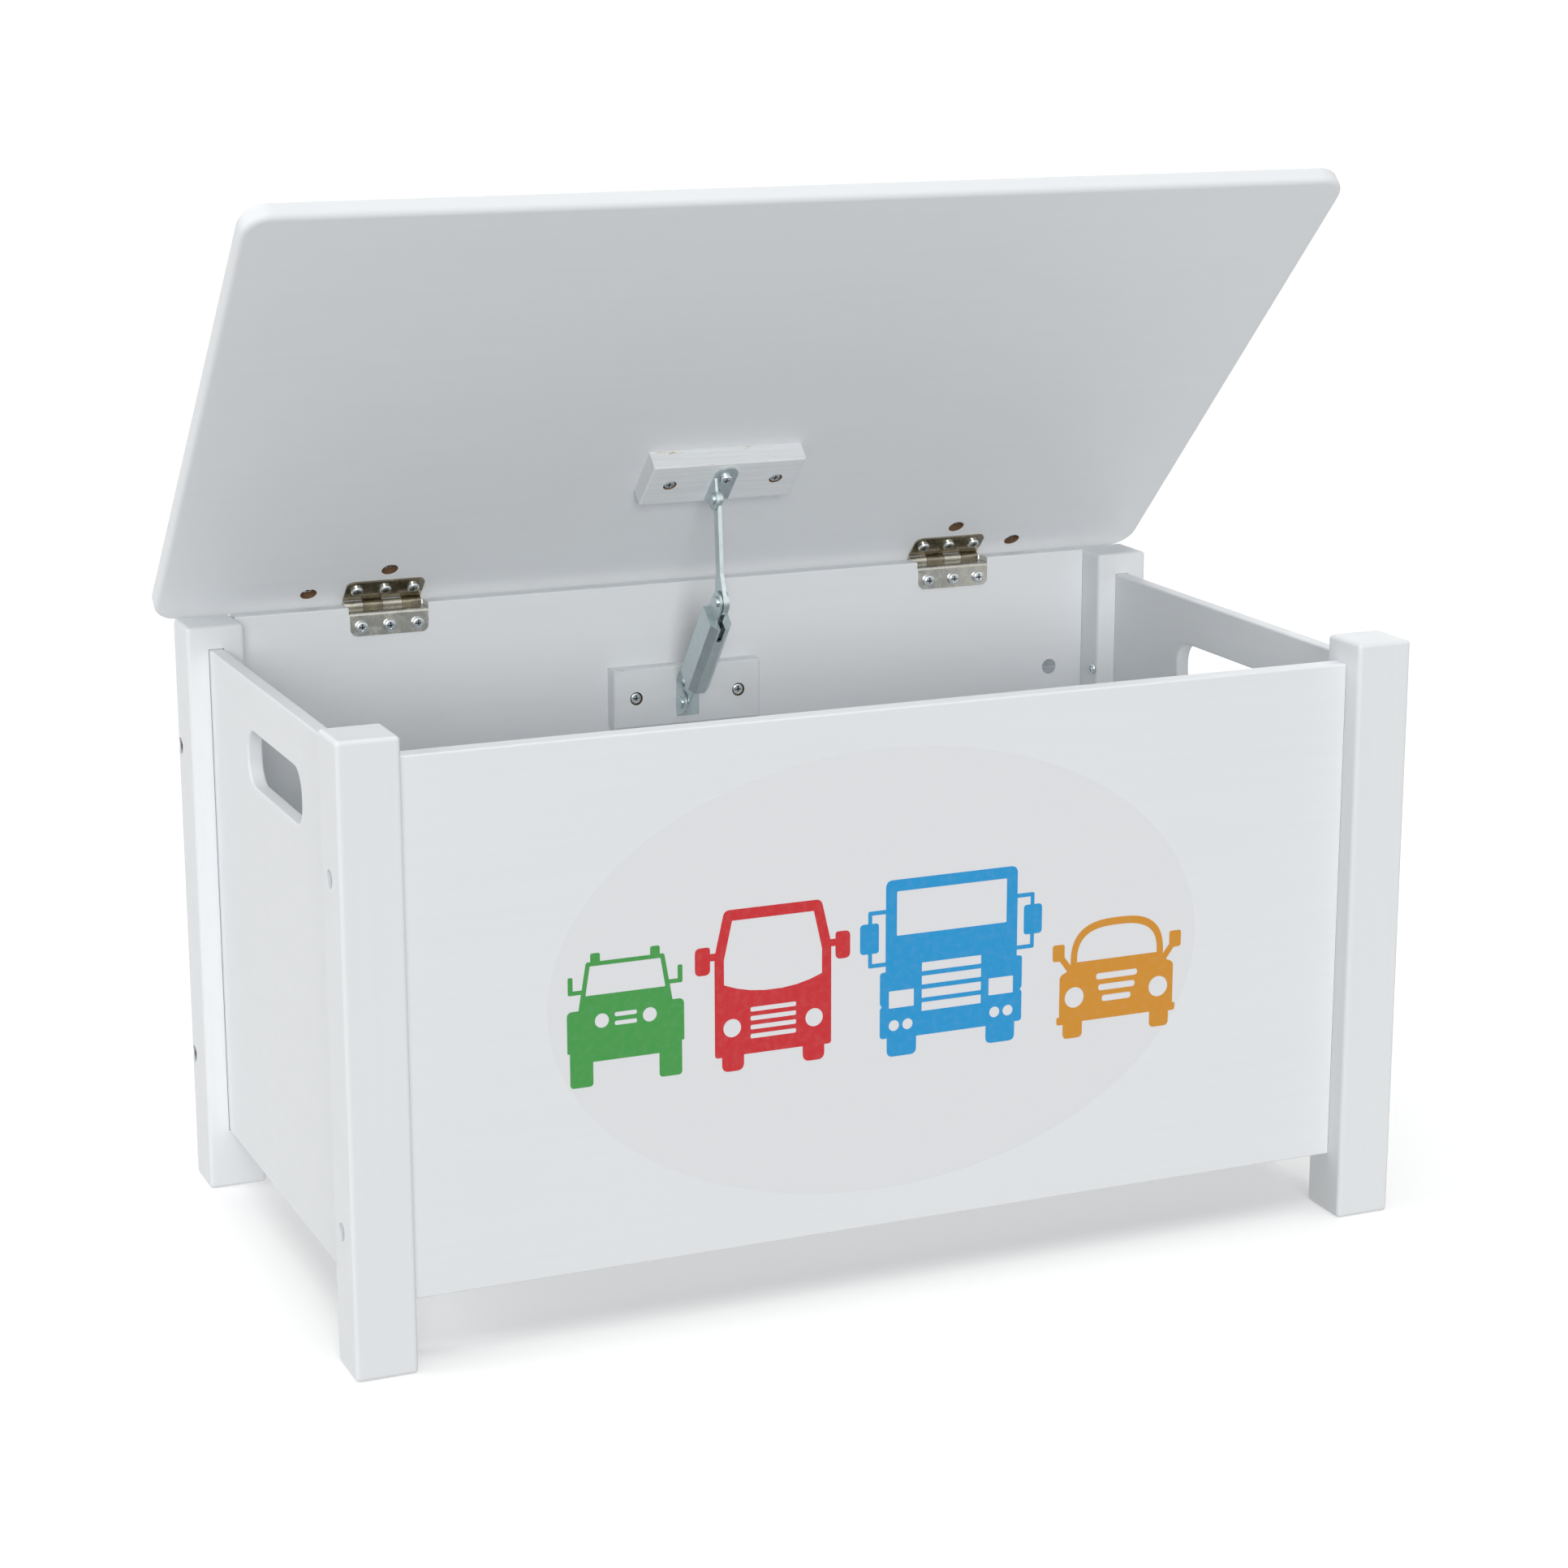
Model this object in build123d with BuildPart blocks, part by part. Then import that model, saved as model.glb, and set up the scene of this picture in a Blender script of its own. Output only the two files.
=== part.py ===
from build123d import *
from math import cos, sin, radians, degrees, atan2, acos, hypot
import os

# Wooden toy box: four posts, four panels, a base, and a lid on two cranked hinges
# with a folding friction stay. Millimetres. +X to the right, +Y to the back, +Z up.
# The box stands on Z = 0, and the lid is modelled part open, as it is used.

os.makedirs("parts", exist_ok=True)

# ---------------------------------------------------------------- driving dimensions
BODY_WIDTH = 650.0
BODY_DEPTH = 355.0
BODY_HEIGHT = 355.0

POST_SIDE = 35.0
POST_EDGE_RADIUS = 2.5

PANEL_TOP_DROP = 14.0         # front and side panels end this far below the post tops
PANEL_FLOOR_GAP = 37.0        # panels end this far above the floor
LONG_PANEL_THICKNESS = 12.0   # front and back panels
SIDE_PANEL_THICKNESS = 9.0
FRONT_RECESS = 14.0           # front panel behind the front of the posts
SIDE_RECESS = 13.0            # side panels inside the outer faces of the posts
PANEL_EDGE_RADIUS = 1.2
JOINT_GAP = 0.2               # glue gap round tongues, panel ends and the base

POST_GROOVE_DEPTH = 10.0      # the side panels' tongues sit this deep in the posts

HANDLE_LENGTH = 116.0
HANDLE_HEIGHT = 33.0
HANDLE_CORNER_RADIUS = 14.0
HANDLE_DROP = 60.0            # slot centre below the post tops
HANDLE_EDGE_RADIUS = 1.5

BASE_THICKNESS = 5.0
BASE_HEIGHT = 58.0            # underside above the floor
BASE_GROOVE_DEPTH = 4.0

LID_SIDE_OVERHANG = 11.0        # lid past each side of the posts
LID_FRONT_OVERHANG = 7.0        # lid past the front of the posts when it is shut
LID_REAR_OVERHANG = 6.0         # lid past the hinge axis
LID_THICKNESS = 12.0
LID_CORNER_RADIUS = 16.0
LID_EDGE_RADIUS = 3.0
LID_ANGLE = 45.0              # how far the modelled lid stands open

HINGE_LENGTH = 50.0
HINGE_SHEET = 1.2
HINGE_FROM_END = 132.0          # middle of a hinge from the end of the body
BARREL_RADIUS = 2.65
HINGE_PIN_RADIUS = 1.5
HINGE_PIN_CLEARANCE = 0.05
HINGE_PIN_ROUNDING = 0.5
KNUCKLE_COUNT = 4
KNUCKLE_GAP = 0.35
HINGE_AXIS_BEHIND = 3.0       # axis behind the back of the posts
HINGE_AXIS_BELOW = 1.6        # axis below the post tops
LID_ABOVE_AXIS = 3.1          # lid underside above the axis when the lid is shut
LOWER_LEAF_DROP = 18.0        # lower leaf reaches this far below the panel top
UPPER_LEAF_REACH = 21.0       # upper leaf reaches this far in front of the axis
LEAF_CORNER_RADIUS = 4.5
LEAF_BEND_RADIUS = 2.2
HINGE_NOTCH_GAP = 0.5
HINGE_SCREW_PITCH = 18.0
LOWER_SCREW_DROP = 12.3       # lower leaf's screws below the post tops
UPPER_SCREW_REACH = 13.5      # upper leaf's screws in front of the axis

SCREW_SHANK_RADIUS = 1.75
SCREW_TIP_LENGTH = 2.5
SCREW_TIP_TAPER = 1.4           # the tip narrows by this at its end
SCREW_HOLE_CLEARANCE = 0.1
PAN_HEAD_RADIUS = 3.9
PAN_HEAD_HEIGHT = 2.2
PAN_HEAD_RIM = 0.8            # straight side of the head under its dome
HINGE_SCREW_LENGTH = 10.0
RECESS_ARM_LENGTH = 4.2
RECESS_ARM_WIDTH = 0.9
RECESS_DEPTH = 1.3

BOLT_RADIUS = 3.0
BOLT_HOLE_CLEARANCE = 0.4
BOLT_HEAD_RADIUS = 4.6
BOLT_HEAD_HEIGHT = 4.0
BOLT_SOCKET_RADIUS = 2.3
BOLT_SOCKET_DEPTH = 2.4
BOLT_COUNTERBORE_RADIUS = 5.2
FRONT_COUNTERBORE_DEPTH = 12.0
REAR_COUNTERBORE_DEPTH = 5.0
BOLT_TOP_DROP = 78.0          # upper bolts below the post tops
BOLT_LOW_HEIGHT = 80.0        # lower bolts above the floor
NUT_RADIUS = 5.0
NUT_CLEARANCE = 0.1
NUT_SETBACK = 1.5               # a cross dowel ends this far inside the panel
NUT_THREAD_CLEARANCE = 0.05
NUT_INSET = 24.0              # cross dowel's axis from the panel's end
NUT_SLOT_WIDTH = 1.4
BOLT_PAST_NUT = 7.0

DOWEL_RADIUS = 3.0
DOWEL_LENGTH = 30.0
DOWEL_HEIGHT = 190.0

PIN_SCREW_INSET = 5.0         # screws that pin the tongues, from the post's inner corner
PIN_SCREW_BITE = 7.0          # their tips past the side panels' inner faces
PIN_HEAD_CLEARANCE = 0.1      # between a head and the front panel

BLOCK_WIDTH = 100.0
BLOCK_HEIGHT = 38.0
BLOCK_THICKNESS = 12.0
BLOCK_EDGE = 1.0
LOWER_BLOCK_DROP = 71.0       # lower block's centre below the post tops
UPPER_BLOCK_REACH = 117.0     # upper block's centre in front of the axis
BLOCK_SCREW_SPAN = 70.0
BLOCK_SCREW_LENGTH = 17.0
BLOCK_COUNTERBORE_RADIUS = 4.3
BLOCK_COUNTERBORE_DEPTH = 2.6

LID_SCREW_RECESS_RADIUS = 5.2
LID_SCREW_RECESS_DEPTH = 5.0
LID_SCREW_LENGTH = 6.0
LID_SCREW_OUTBOARD = 48.0       # rear lid screws outside the hinges' middles
LID_SCREW_REAR_REACH = 11.5     # rear lid screws in front of the axis
LID_SCREW_FRONT_REACH = 31.5    # front lid screws in front of the axis

STAY_X = -4.75                # middle plane of the stay's arm
STAY_SHEET = 1.6
STAY_GAP = 0.3                # side play between the stay's plates
ARM_THICKNESS = 2.5
ARM_LENGTH = 64.0
HOUSING_LENGTH = 97.0         # lower pivot to knee pivot
PIVOT_STANDOFF = 8.3          # pivots off the faces of the wood blocks
LOWER_PIVOT_BELOW_BLOCK = 3.0
UPPER_PIVOT_BEHIND_BLOCK = 5.0
RIVET_RADIUS = 2.0
RIVET_CLEARANCE = 0.05
RIVET_HEAD_RADIUS = 3.8
RIVET_HEAD_HEIGHT = 1.3
RIVET_HEAD_ROUNDING = 0.78
KNEE_PLAY = 3.0               # radial room round the knee rivet in the arm
ARM_END_RADIUS = 5.4
ARM_HALF_WIDTH = 3.4
ARM_KNEE_RADIUS = 8.2
ARM_TAPER = 18.0              # length over which the arm widens to its knee end
HOUSING_WIDTH = 14.0          # along X
HOUSING_DEPTH = 20.0
HOUSING_OFFSET = 3.0          # middle of the housing in front of the pivot line
HOUSING_CHAMFER = 4.0
HOUSING_SHEET = 1.2
HOUSING_START = 24.0          # from the lower pivot
HOUSING_KNEE_ROOM = 11.0      # from the housing's open end to the knee pivot
HOUSING_SLOT_LENGTH = 12.0
EAR_RADIUS = 7.0
TANG_RADIUS = 5.4
TANG_SHEET = 1.5

BRACKET_WIDTH = 15.0
BRACKET_LENGTH = 31.0
BRACKET_FLANGE_RADIUS = 7.2
BRACKET_END_FLAT = 1.0          # straight left between the two corners at a bracket's end
BRACKET_PIVOT_FROM_END = 10.5
BRACKET_SCREW_FROM_PIVOT = 11.0
BRACKET_SCREW_LENGTH = 11.0

SPRING_RADIUS = 4.4
SPRING_WIRE_RADIUS = 0.7
SPRING_TURNS = 8
PLUNGER_HEAD_RADIUS = 5.6
PLUNGER_HEAD_LENGTH = 4.0
PLUNGER_NOSE_RADIUS = 3.0
PLUNGER_STEM_RADIUS = 3.0
PLUNGER_STEM_LENGTH = 16.0
PLUNGER_ARM_GAP = 2.6

# ---------------------------------------------------------------- worked-out places
# The origin is on the floor in the middle of the whole object with its lid part open,
# so the box stands a little forward of it: the open lid's rear edge overhangs the posts.
open_angle = radians(LID_ANGLE)
lid_top_above_axis = LID_ABOVE_AXIS + LID_THICKNESS
open_lid_overhang = (
    HINGE_AXIS_BEHIND + lid_top_above_axis * sin(open_angle) + LID_REAR_OVERHANG * cos(open_angle)
)
body_middle_y = -open_lid_overhang / 2

half_width = BODY_WIDTH / 2
front_y = body_middle_y - BODY_DEPTH / 2
rear_y = body_middle_y + BODY_DEPTH / 2
post_inner_x = half_width - POST_SIDE
post_inner_front_y = front_y + POST_SIDE
post_inner_rear_y = rear_y - POST_SIDE
panel_top = BODY_HEIGHT - PANEL_TOP_DROP
front_panel_y = front_y + FRONT_RECESS + LONG_PANEL_THICKNESS / 2
front_inner_y = front_panel_y + LONG_PANEL_THICKNESS / 2
back_panel_y = rear_y - LONG_PANEL_THICKNESS / 2
pin_screw_length = POST_SIDE - SIDE_RECESS - SIDE_PANEL_THICKNESS + PIN_SCREW_BITE
front_strip = POST_SIDE - FRONT_RECESS - LONG_PANEL_THICKNESS    # post showing behind the front panel
front_pin_inset = min(PIN_SCREW_INSET, front_strip - PAN_HEAD_RADIUS - PIN_HEAD_CLEARANCE)
pin_screw_ys = {-1: post_inner_front_y - front_pin_inset, 1: post_inner_rear_y + PIN_SCREW_INSET}
back_inner_y = rear_y - LONG_PANEL_THICKNESS
side_outer_x = half_width - SIDE_RECESS
side_inner_x = side_outer_x - SIDE_PANEL_THICKNESS
side_middle_x = side_outer_x - SIDE_PANEL_THICKNESS / 2
bolt_heights = (BODY_HEIGHT - BOLT_TOP_DROP, BOLT_LOW_HEIGHT)
handle_z = BODY_HEIGHT - HANDLE_DROP
nut_length = LONG_PANEL_THICKNESS - NUT_SETBACK
lid_width = BODY_WIDTH + 2 * LID_SIDE_OVERHANG
lid_reach = HINGE_AXIS_BEHIND + BODY_DEPTH + LID_FRONT_OVERHANG
lid_depth = lid_reach + LID_REAR_OVERHANG
screw_hole_radius = SCREW_SHANK_RADIUS + SCREW_HOLE_CLEARANCE

hinge_axis_y = rear_y + HINGE_AXIS_BEHIND
hinge_axis_z = BODY_HEIGHT - HINGE_AXIS_BELOW
leaf_floor_z = hinge_axis_z - BARREL_RADIUS     # the lower leaf lies level with the barrel's foot
hinge_centre_x = half_width - HINGE_FROM_END
hinge_xs = (-hinge_centre_x, hinge_centre_x)
knuckle_pitch = HINGE_LENGTH / KNUCKLE_COUNT
hinge_screw_offsets = (-HINGE_SCREW_PITCH, 0.0, HINGE_SCREW_PITCH)

# Lid frame: origin on the hinge axis, local Y towards the back of the lid, local Z out of its top.
lid_plane = Plane(
    origin=(0, hinge_axis_y, hinge_axis_z),
    x_dir=(1, 0, 0),
    z_dir=(0, sin(open_angle), cos(open_angle)),
)
lid_under_plane = lid_plane.offset(LID_ABOVE_AXIS)

lower_block_z = BODY_HEIGHT - LOWER_BLOCK_DROP
lower_block_face_y = back_inner_y - BLOCK_THICKNESS

# Stay pivots, in the plane of the arm.
lower_pivot = (lower_block_face_y - PIVOT_STANDOFF, lower_block_z - LOWER_PIVOT_BELOW_BLOCK)
upper_pivot_reach = UPPER_BLOCK_REACH - UPPER_PIVOT_BEHIND_BLOCK
upper_pivot_local_z = LID_ABOVE_AXIS - BLOCK_THICKNESS - PIVOT_STANDOFF
upper_pivot = (
    hinge_axis_y - upper_pivot_reach * cos(open_angle) + upper_pivot_local_z * sin(open_angle),
    hinge_axis_z + upper_pivot_reach * sin(open_angle) + upper_pivot_local_z * cos(open_angle),
)
pivot_rise = upper_pivot[1] - lower_pivot[1]
pivot_run = lower_pivot[0] - upper_pivot[0]
pivot_span = hypot(pivot_rise, pivot_run)
span_angle = atan2(pivot_rise, pivot_run)
knee_cosine = (HOUSING_LENGTH**2 + pivot_span**2 - ARM_LENGTH**2) / (2 * HOUSING_LENGTH * pivot_span)
housing_angle = span_angle - acos(knee_cosine)
knee_pivot = (
    lower_pivot[0] - HOUSING_LENGTH * cos(housing_angle),
    lower_pivot[1] + HOUSING_LENGTH * sin(housing_angle),
)
housing_plane = Plane(
    origin=(STAY_X, lower_pivot[0], lower_pivot[1]),
    x_dir=(0, -cos(housing_angle), sin(housing_angle)),
    z_dir=(1, 0, 0),
)
arm_plane = Plane(
    origin=(STAY_X, upper_pivot[0], upper_pivot[1]),
    x_dir=(0, knee_pivot[0] - upper_pivot[0], knee_pivot[1] - upper_pivot[1]),
    z_dir=(1, 0, 0),
)
flange_offset = -(ARM_THICKNESS / 2 + STAY_GAP + STAY_SHEET)   # bracket's side flange, outer face
bracket_middle_x = STAY_X + flange_offset + BRACKET_WIDTH / 2
housing_end = HOUSING_LENGTH - HOUSING_KNEE_ROOM


# ---------------------------------------------------------------- fasteners
def cross_head_screw(length):
    """A pan-head wood screw along -Z, its head standing on Z = 0."""
    with BuildPart() as screw:
        with BuildSketch(Plane.XY):
            Circle(SCREW_SHANK_RADIUS)
        extrude(amount=-length)
        chamfer(screw.edges().group_by(Axis.Z)[0], SCREW_TIP_LENGTH, SCREW_TIP_TAPER)
        with BuildSketch(Plane.XY):
            Circle(PAN_HEAD_RADIUS)
        extrude(amount=PAN_HEAD_HEIGHT)
        fillet(screw.edges().group_by(Axis.Z)[-1], PAN_HEAD_HEIGHT - PAN_HEAD_RIM)
        with BuildSketch(Plane.XY.offset(PAN_HEAD_HEIGHT)):
            Rectangle(RECESS_ARM_LENGTH, RECESS_ARM_WIDTH)
            Rectangle(RECESS_ARM_WIDTH, RECESS_ARM_LENGTH)
        extrude(amount=-RECESS_DEPTH, mode=Mode.SUBTRACT)
    return screw.part


def rivet(grip):
    """A rivet along +Z whose plates lie from Z = 0 to grip, with a flat head at each end."""
    with BuildPart() as pin:
        with BuildSketch(Plane.XY.offset(-RIVET_HEAD_HEIGHT)):
            Circle(RIVET_HEAD_RADIUS)
        extrude(amount=RIVET_HEAD_HEIGHT)
        with BuildSketch(Plane.XY):
            Circle(RIVET_RADIUS)
        extrude(amount=grip)
        with BuildSketch(Plane.XY.offset(grip)):
            Circle(RIVET_HEAD_RADIUS)
        extrude(amount=RIVET_HEAD_HEIGHT)
        outer_rims = pin.edges().filter_by(GeomType.CIRCLE).group_by(Axis.Z)
        fillet(outer_rims[0] + outer_rims[-1], RIVET_HEAD_ROUNDING)
    return pin.part


def places_on(plane, points):
    """Locations standing out of a plane whose X lies along the world's X, either way round.

    Each point is the world's X and the plane's own Y.
    """
    return [plane.location * Location((x * plane.x_dir.X, y, 0)) for x, y in points]


# ---------------------------------------------------------------- posts
def make_post(x_side, y_side):
    """A square post with a groove for the side panel's tongue and holes for its fasteners."""
    post_x = x_side * (half_width - POST_SIDE / 2)
    post_y = body_middle_y + y_side * (BODY_DEPTH - POST_SIDE) / 2
    face_plane = Plane(origin=(x_side * half_width, 0, 0), x_dir=(0, 1, 0), z_dir=(x_side, 0, 0))
    inner_plane = Plane(origin=(x_side * post_inner_x, 0, 0), x_dir=(0, 1, 0), z_dir=(-x_side, 0, 0))
    bolt_y = front_panel_y if y_side < 0 else back_panel_y
    counterbore = FRONT_COUNTERBORE_DEPTH if y_side < 0 else REAR_COUNTERBORE_DEPTH
    inner_corner_y = post_y - y_side * POST_SIDE / 2
    groove_y = inner_corner_y + y_side * POST_GROOVE_DEPTH / 2
    groove_bottom = PANEL_FLOOR_GAP - JOINT_GAP
    groove_height = panel_top + JOINT_GAP - groove_bottom
    with BuildPart() as post:
        with BuildSketch(Plane.XY):
            with Locations((post_x, post_y)):
                Rectangle(POST_SIDE, POST_SIDE)
        extrude(amount=BODY_HEIGHT)
        fillet(post.edges(), POST_EDGE_RADIUS)
        with BuildSketch(Plane.XY.offset(groove_bottom)):
            with Locations((x_side * side_middle_x, groove_y)):
                Rectangle(SIDE_PANEL_THICKNESS + 2 * JOINT_GAP, POST_GROOVE_DEPTH)
        extrude(amount=groove_height, mode=Mode.SUBTRACT)
        with Locations(*[face_plane.location * Location((bolt_y, x_side * z, 0)) for z in bolt_heights]):
            CounterBoreHole(
                BOLT_RADIUS + BOLT_HOLE_CLEARANCE,
                BOLT_COUNTERBORE_RADIUS,
                counterbore,
                depth=POST_SIDE,
            )
        pin_points = [(pin_screw_ys[y_side], -x_side * z, 0) for z in bolt_heights]
        with Locations(*[inner_plane.location * Location(point) for point in pin_points]):
            Hole(screw_hole_radius, depth=pin_screw_length + SCREW_HOLE_CLEARANCE)
        with Locations(inner_plane.location * Location((bolt_y, -x_side * DOWEL_HEIGHT, 0))):
            Hole(DOWEL_RADIUS + SCREW_HOLE_CLEARANCE, depth=DOWEL_LENGTH / 2 + JOINT_GAP)
    return post


corners = {
    "front_left": (-1, -1),
    "front_right": (1, -1),
    "rear_left": (-1, 1),
    "rear_right": (1, 1),
}
for corner_name, (corner_x, corner_y) in corners.items():
    post = make_post(corner_x, corner_y)
    post.part.label = "post_" + corner_name
    export_step(post.part, "parts/post_" + corner_name + ".step")


# ---------------------------------------------------------------- front and back panels
def long_panel_blank(middle_y, top_z, inner_side):
    """A panel between two posts, bored for bolts, cross dowels and dowels at each end."""
    panel_length = 2 * (post_inner_x - JOINT_GAP)
    inner_y = middle_y + inner_side * LONG_PANEL_THICKNESS / 2
    inner_plane = Plane(origin=(0, inner_y, 0), x_dir=(-inner_side, 0, 0), z_dir=(0, inner_side, 0))
    nut_x = post_inner_x - JOINT_GAP - NUT_INSET
    with BuildPart() as panel:
        with BuildSketch(Plane.XY.offset(PANEL_FLOOR_GAP)):
            with Locations((0, middle_y)):
                Rectangle(panel_length, LONG_PANEL_THICKNESS)
        extrude(amount=top_z - PANEL_FLOOR_GAP)
        fillet(panel.edges().filter_by(Axis.X), PANEL_EDGE_RADIUS)
        groove_middle_y = inner_y - inner_side * BASE_GROOVE_DEPTH / 2
        with BuildSketch(Plane.XY.offset(BASE_HEIGHT)):
            with Locations((0, groove_middle_y)):
                Rectangle(panel_length, BASE_GROOVE_DEPTH)
        extrude(amount=BASE_THICKNESS + JOINT_GAP, mode=Mode.SUBTRACT)
        for x_side in (-1, 1):
            end_plane = Plane(
                origin=(x_side * panel_length / 2, middle_y, 0), x_dir=(0, 1, 0), z_dir=(x_side, 0, 0)
            )
            with Locations(*[end_plane.location * Location((0, x_side * z, 0)) for z in bolt_heights]):
                Hole(BOLT_RADIUS + BOLT_HOLE_CLEARANCE, depth=NUT_INSET + BOLT_PAST_NUT + JOINT_GAP)
            with Locations(end_plane.location * Location((0, x_side * DOWEL_HEIGHT, 0))):
                Hole(DOWEL_RADIUS + SCREW_HOLE_CLEARANCE, depth=DOWEL_LENGTH / 2 + JOINT_GAP)
        nut_points = [(x, z) for x in (-nut_x, nut_x) for z in bolt_heights]
        with Locations(*places_on(inner_plane, nut_points)):
            Hole(NUT_RADIUS + NUT_CLEARANCE, depth=nut_length)
    return panel


front_panel = long_panel_blank(front_panel_y, panel_top, 1)
front_panel.part.label = "front_panel"
export_step(front_panel.part, "parts/front_panel.step")

# The back panel also has a notch for each hinge and pilot holes for the hinge and block screws.
back_face_plane = Plane(origin=(0, back_inner_y, 0), x_dir=(1, 0, 0), z_dir=(0, -1, 0))
back_panel_blank = long_panel_blank(back_panel_y, BODY_HEIGHT, -1)
lower_screw_z = BODY_HEIGHT - LOWER_SCREW_DROP
lower_hinge_screw_points = [
    (hinge_x + offset_x, lower_screw_z) for hinge_x in hinge_xs for offset_x in hinge_screw_offsets
]
lower_block_screw_points = [(x, lower_block_z) for x in (-BLOCK_SCREW_SPAN / 2, BLOCK_SCREW_SPAN / 2)]
with BuildPart() as back_panel:
    add(back_panel_blank.part)
    with BuildSketch(Plane.XY.offset(leaf_floor_z)):
        with Locations(*[(hinge_x, back_panel_y) for hinge_x in hinge_xs]):
            Rectangle(HINGE_LENGTH + 2 * HINGE_NOTCH_GAP, 2 * LONG_PANEL_THICKNESS)
    extrude(amount=BODY_HEIGHT, mode=Mode.SUBTRACT)
    with Locations(*places_on(back_face_plane, lower_hinge_screw_points)):
        Hole(screw_hole_radius, depth=HINGE_SCREW_LENGTH - HINGE_SHEET + SCREW_HOLE_CLEARANCE)
    with Locations(*places_on(back_face_plane, lower_block_screw_points)):
        Hole(
            screw_hole_radius,
            depth=BLOCK_SCREW_LENGTH - BLOCK_THICKNESS + BLOCK_COUNTERBORE_DEPTH + SCREW_HOLE_CLEARANCE,
        )
back_panel.part.label = "back_panel"
export_step(back_panel.part, "parts/back_panel.step")


# ---------------------------------------------------------------- side panels
def make_side_panel(x_side):
    """A side panel with tongues in both posts, a grooved inner face and a handle slot."""
    tongue = POST_GROOVE_DEPTH - JOINT_GAP
    panel_depth = BODY_DEPTH - 2 * POST_SIDE + 2 * tongue
    panel_height = panel_top - PANEL_FLOOR_GAP
    side_plane = Plane(
        origin=(x_side * side_middle_x, body_middle_y, 0), x_dir=(0, 1, 0), z_dir=(1, 0, 0)
    )
    pin_reaches = [pin_y - body_middle_y for pin_y in pin_screw_ys.values()]
    with BuildPart() as panel:
        with BuildSketch(side_plane):
            with Locations((0, PANEL_FLOOR_GAP + panel_height / 2)):
                Rectangle(panel_depth, panel_height)
        extrude(amount=SIDE_PANEL_THICKNESS / 2, both=True)
        fillet(panel.edges().filter_by(Axis.Y), PANEL_EDGE_RADIUS)
        with BuildSketch(side_plane):
            with Locations((0, handle_z)):
                RectangleRounded(HANDLE_LENGTH, HANDLE_HEIGHT, HANDLE_CORNER_RADIUS)
        extrude(amount=SIDE_PANEL_THICKNESS, both=True, mode=Mode.SUBTRACT)
        slot_faces = panel.faces().filter_by(Axis.X)
        slot_edges = slot_faces.edges().filter_by_position(
            Axis.Z, handle_z - HANDLE_HEIGHT, handle_z + HANDLE_HEIGHT
        ).filter_by_position(Axis.Y, body_middle_y - HANDLE_LENGTH, body_middle_y + HANDLE_LENGTH)
        fillet(slot_edges, HANDLE_EDGE_RADIUS)
        groove_middle_x = x_side * (side_inner_x + BASE_GROOVE_DEPTH / 2)
        with BuildSketch(Plane.XY.offset(BASE_HEIGHT)):
            with Locations((groove_middle_x, body_middle_y)):
                Rectangle(BASE_GROOVE_DEPTH, panel_depth)
        extrude(amount=BASE_THICKNESS + JOINT_GAP, mode=Mode.SUBTRACT)
        with BuildSketch(side_plane):
            with Locations(*[(y, z) for y in pin_reaches for z in bolt_heights]):
                Circle(screw_hole_radius)
        extrude(amount=SIDE_PANEL_THICKNESS, both=True, mode=Mode.SUBTRACT)
    return panel


for side_name, side_x in (("left", -1), ("right", 1)):
    side_panel = make_side_panel(side_x)
    side_panel.part.label = "side_panel_" + side_name
    export_step(side_panel.part, "parts/side_panel_" + side_name + ".step")

# ---------------------------------------------------------------- base panel
base_half_width = side_inner_x + BASE_GROOVE_DEPTH - JOINT_GAP
base_front_y = front_inner_y - BASE_GROOVE_DEPTH + JOINT_GAP
base_rear_y = back_inner_y + BASE_GROOVE_DEPTH - JOINT_GAP
with BuildPart() as base_panel:
    with BuildSketch(Plane.XY.offset(BASE_HEIGHT)):
        with Locations((0, (base_front_y + base_rear_y) / 2)):
            Rectangle(2 * base_half_width, base_rear_y - base_front_y)
        notch_side = POST_SIDE + 2 * JOINT_GAP
        notch_x = half_width - POST_SIDE / 2
        post_middle_ys = (front_y + POST_SIDE / 2, rear_y - POST_SIDE / 2)
        with Locations(*[(x, y) for x in (-notch_x, notch_x) for y in post_middle_ys]):
            Rectangle(notch_side, notch_side, mode=Mode.SUBTRACT)
    extrude(amount=BASE_THICKNESS)
base_panel.part.label = "base_panel"
export_step(base_panel.part, "parts/base_panel.step")


# ---------------------------------------------------------------- bolts, cross dowels, dowels
def bolt_row(bolt_y, counterbore):
    """The four socket bolts of one long panel, heads in their counterbores."""
    bolt_length = POST_SIDE - counterbore + JOINT_GAP + NUT_INSET + BOLT_PAST_NUT
    with BuildPart() as bolts:
        for x_side in (-1, 1):
            for z in bolt_heights:
                seat = Plane(
                    origin=(x_side * (half_width - counterbore), bolt_y, z),
                    x_dir=(0, 1, 0),
                    z_dir=(x_side, 0, 0),
                )
                with BuildSketch(seat):
                    Circle(BOLT_HEAD_RADIUS)
                extrude(amount=BOLT_HEAD_HEIGHT)
                with BuildSketch(seat):
                    Circle(BOLT_RADIUS)
                extrude(amount=-bolt_length)
                with BuildSketch(seat.offset(BOLT_HEAD_HEIGHT)):
                    RegularPolygon(BOLT_SOCKET_RADIUS, 6)
                extrude(amount=-BOLT_SOCKET_DEPTH, mode=Mode.SUBTRACT)
    return bolts


bolts_front = bolt_row(front_panel_y, FRONT_COUNTERBORE_DEPTH)
bolts_front.part.label = "bolts_front"
export_step(bolts_front.part, "parts/bolts_front.step")

bolts_rear = bolt_row(back_panel_y, REAR_COUNTERBORE_DEPTH)
bolts_rear.part.label = "bolts_rear"
export_step(bolts_rear.part, "parts/bolts_rear.step")


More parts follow.
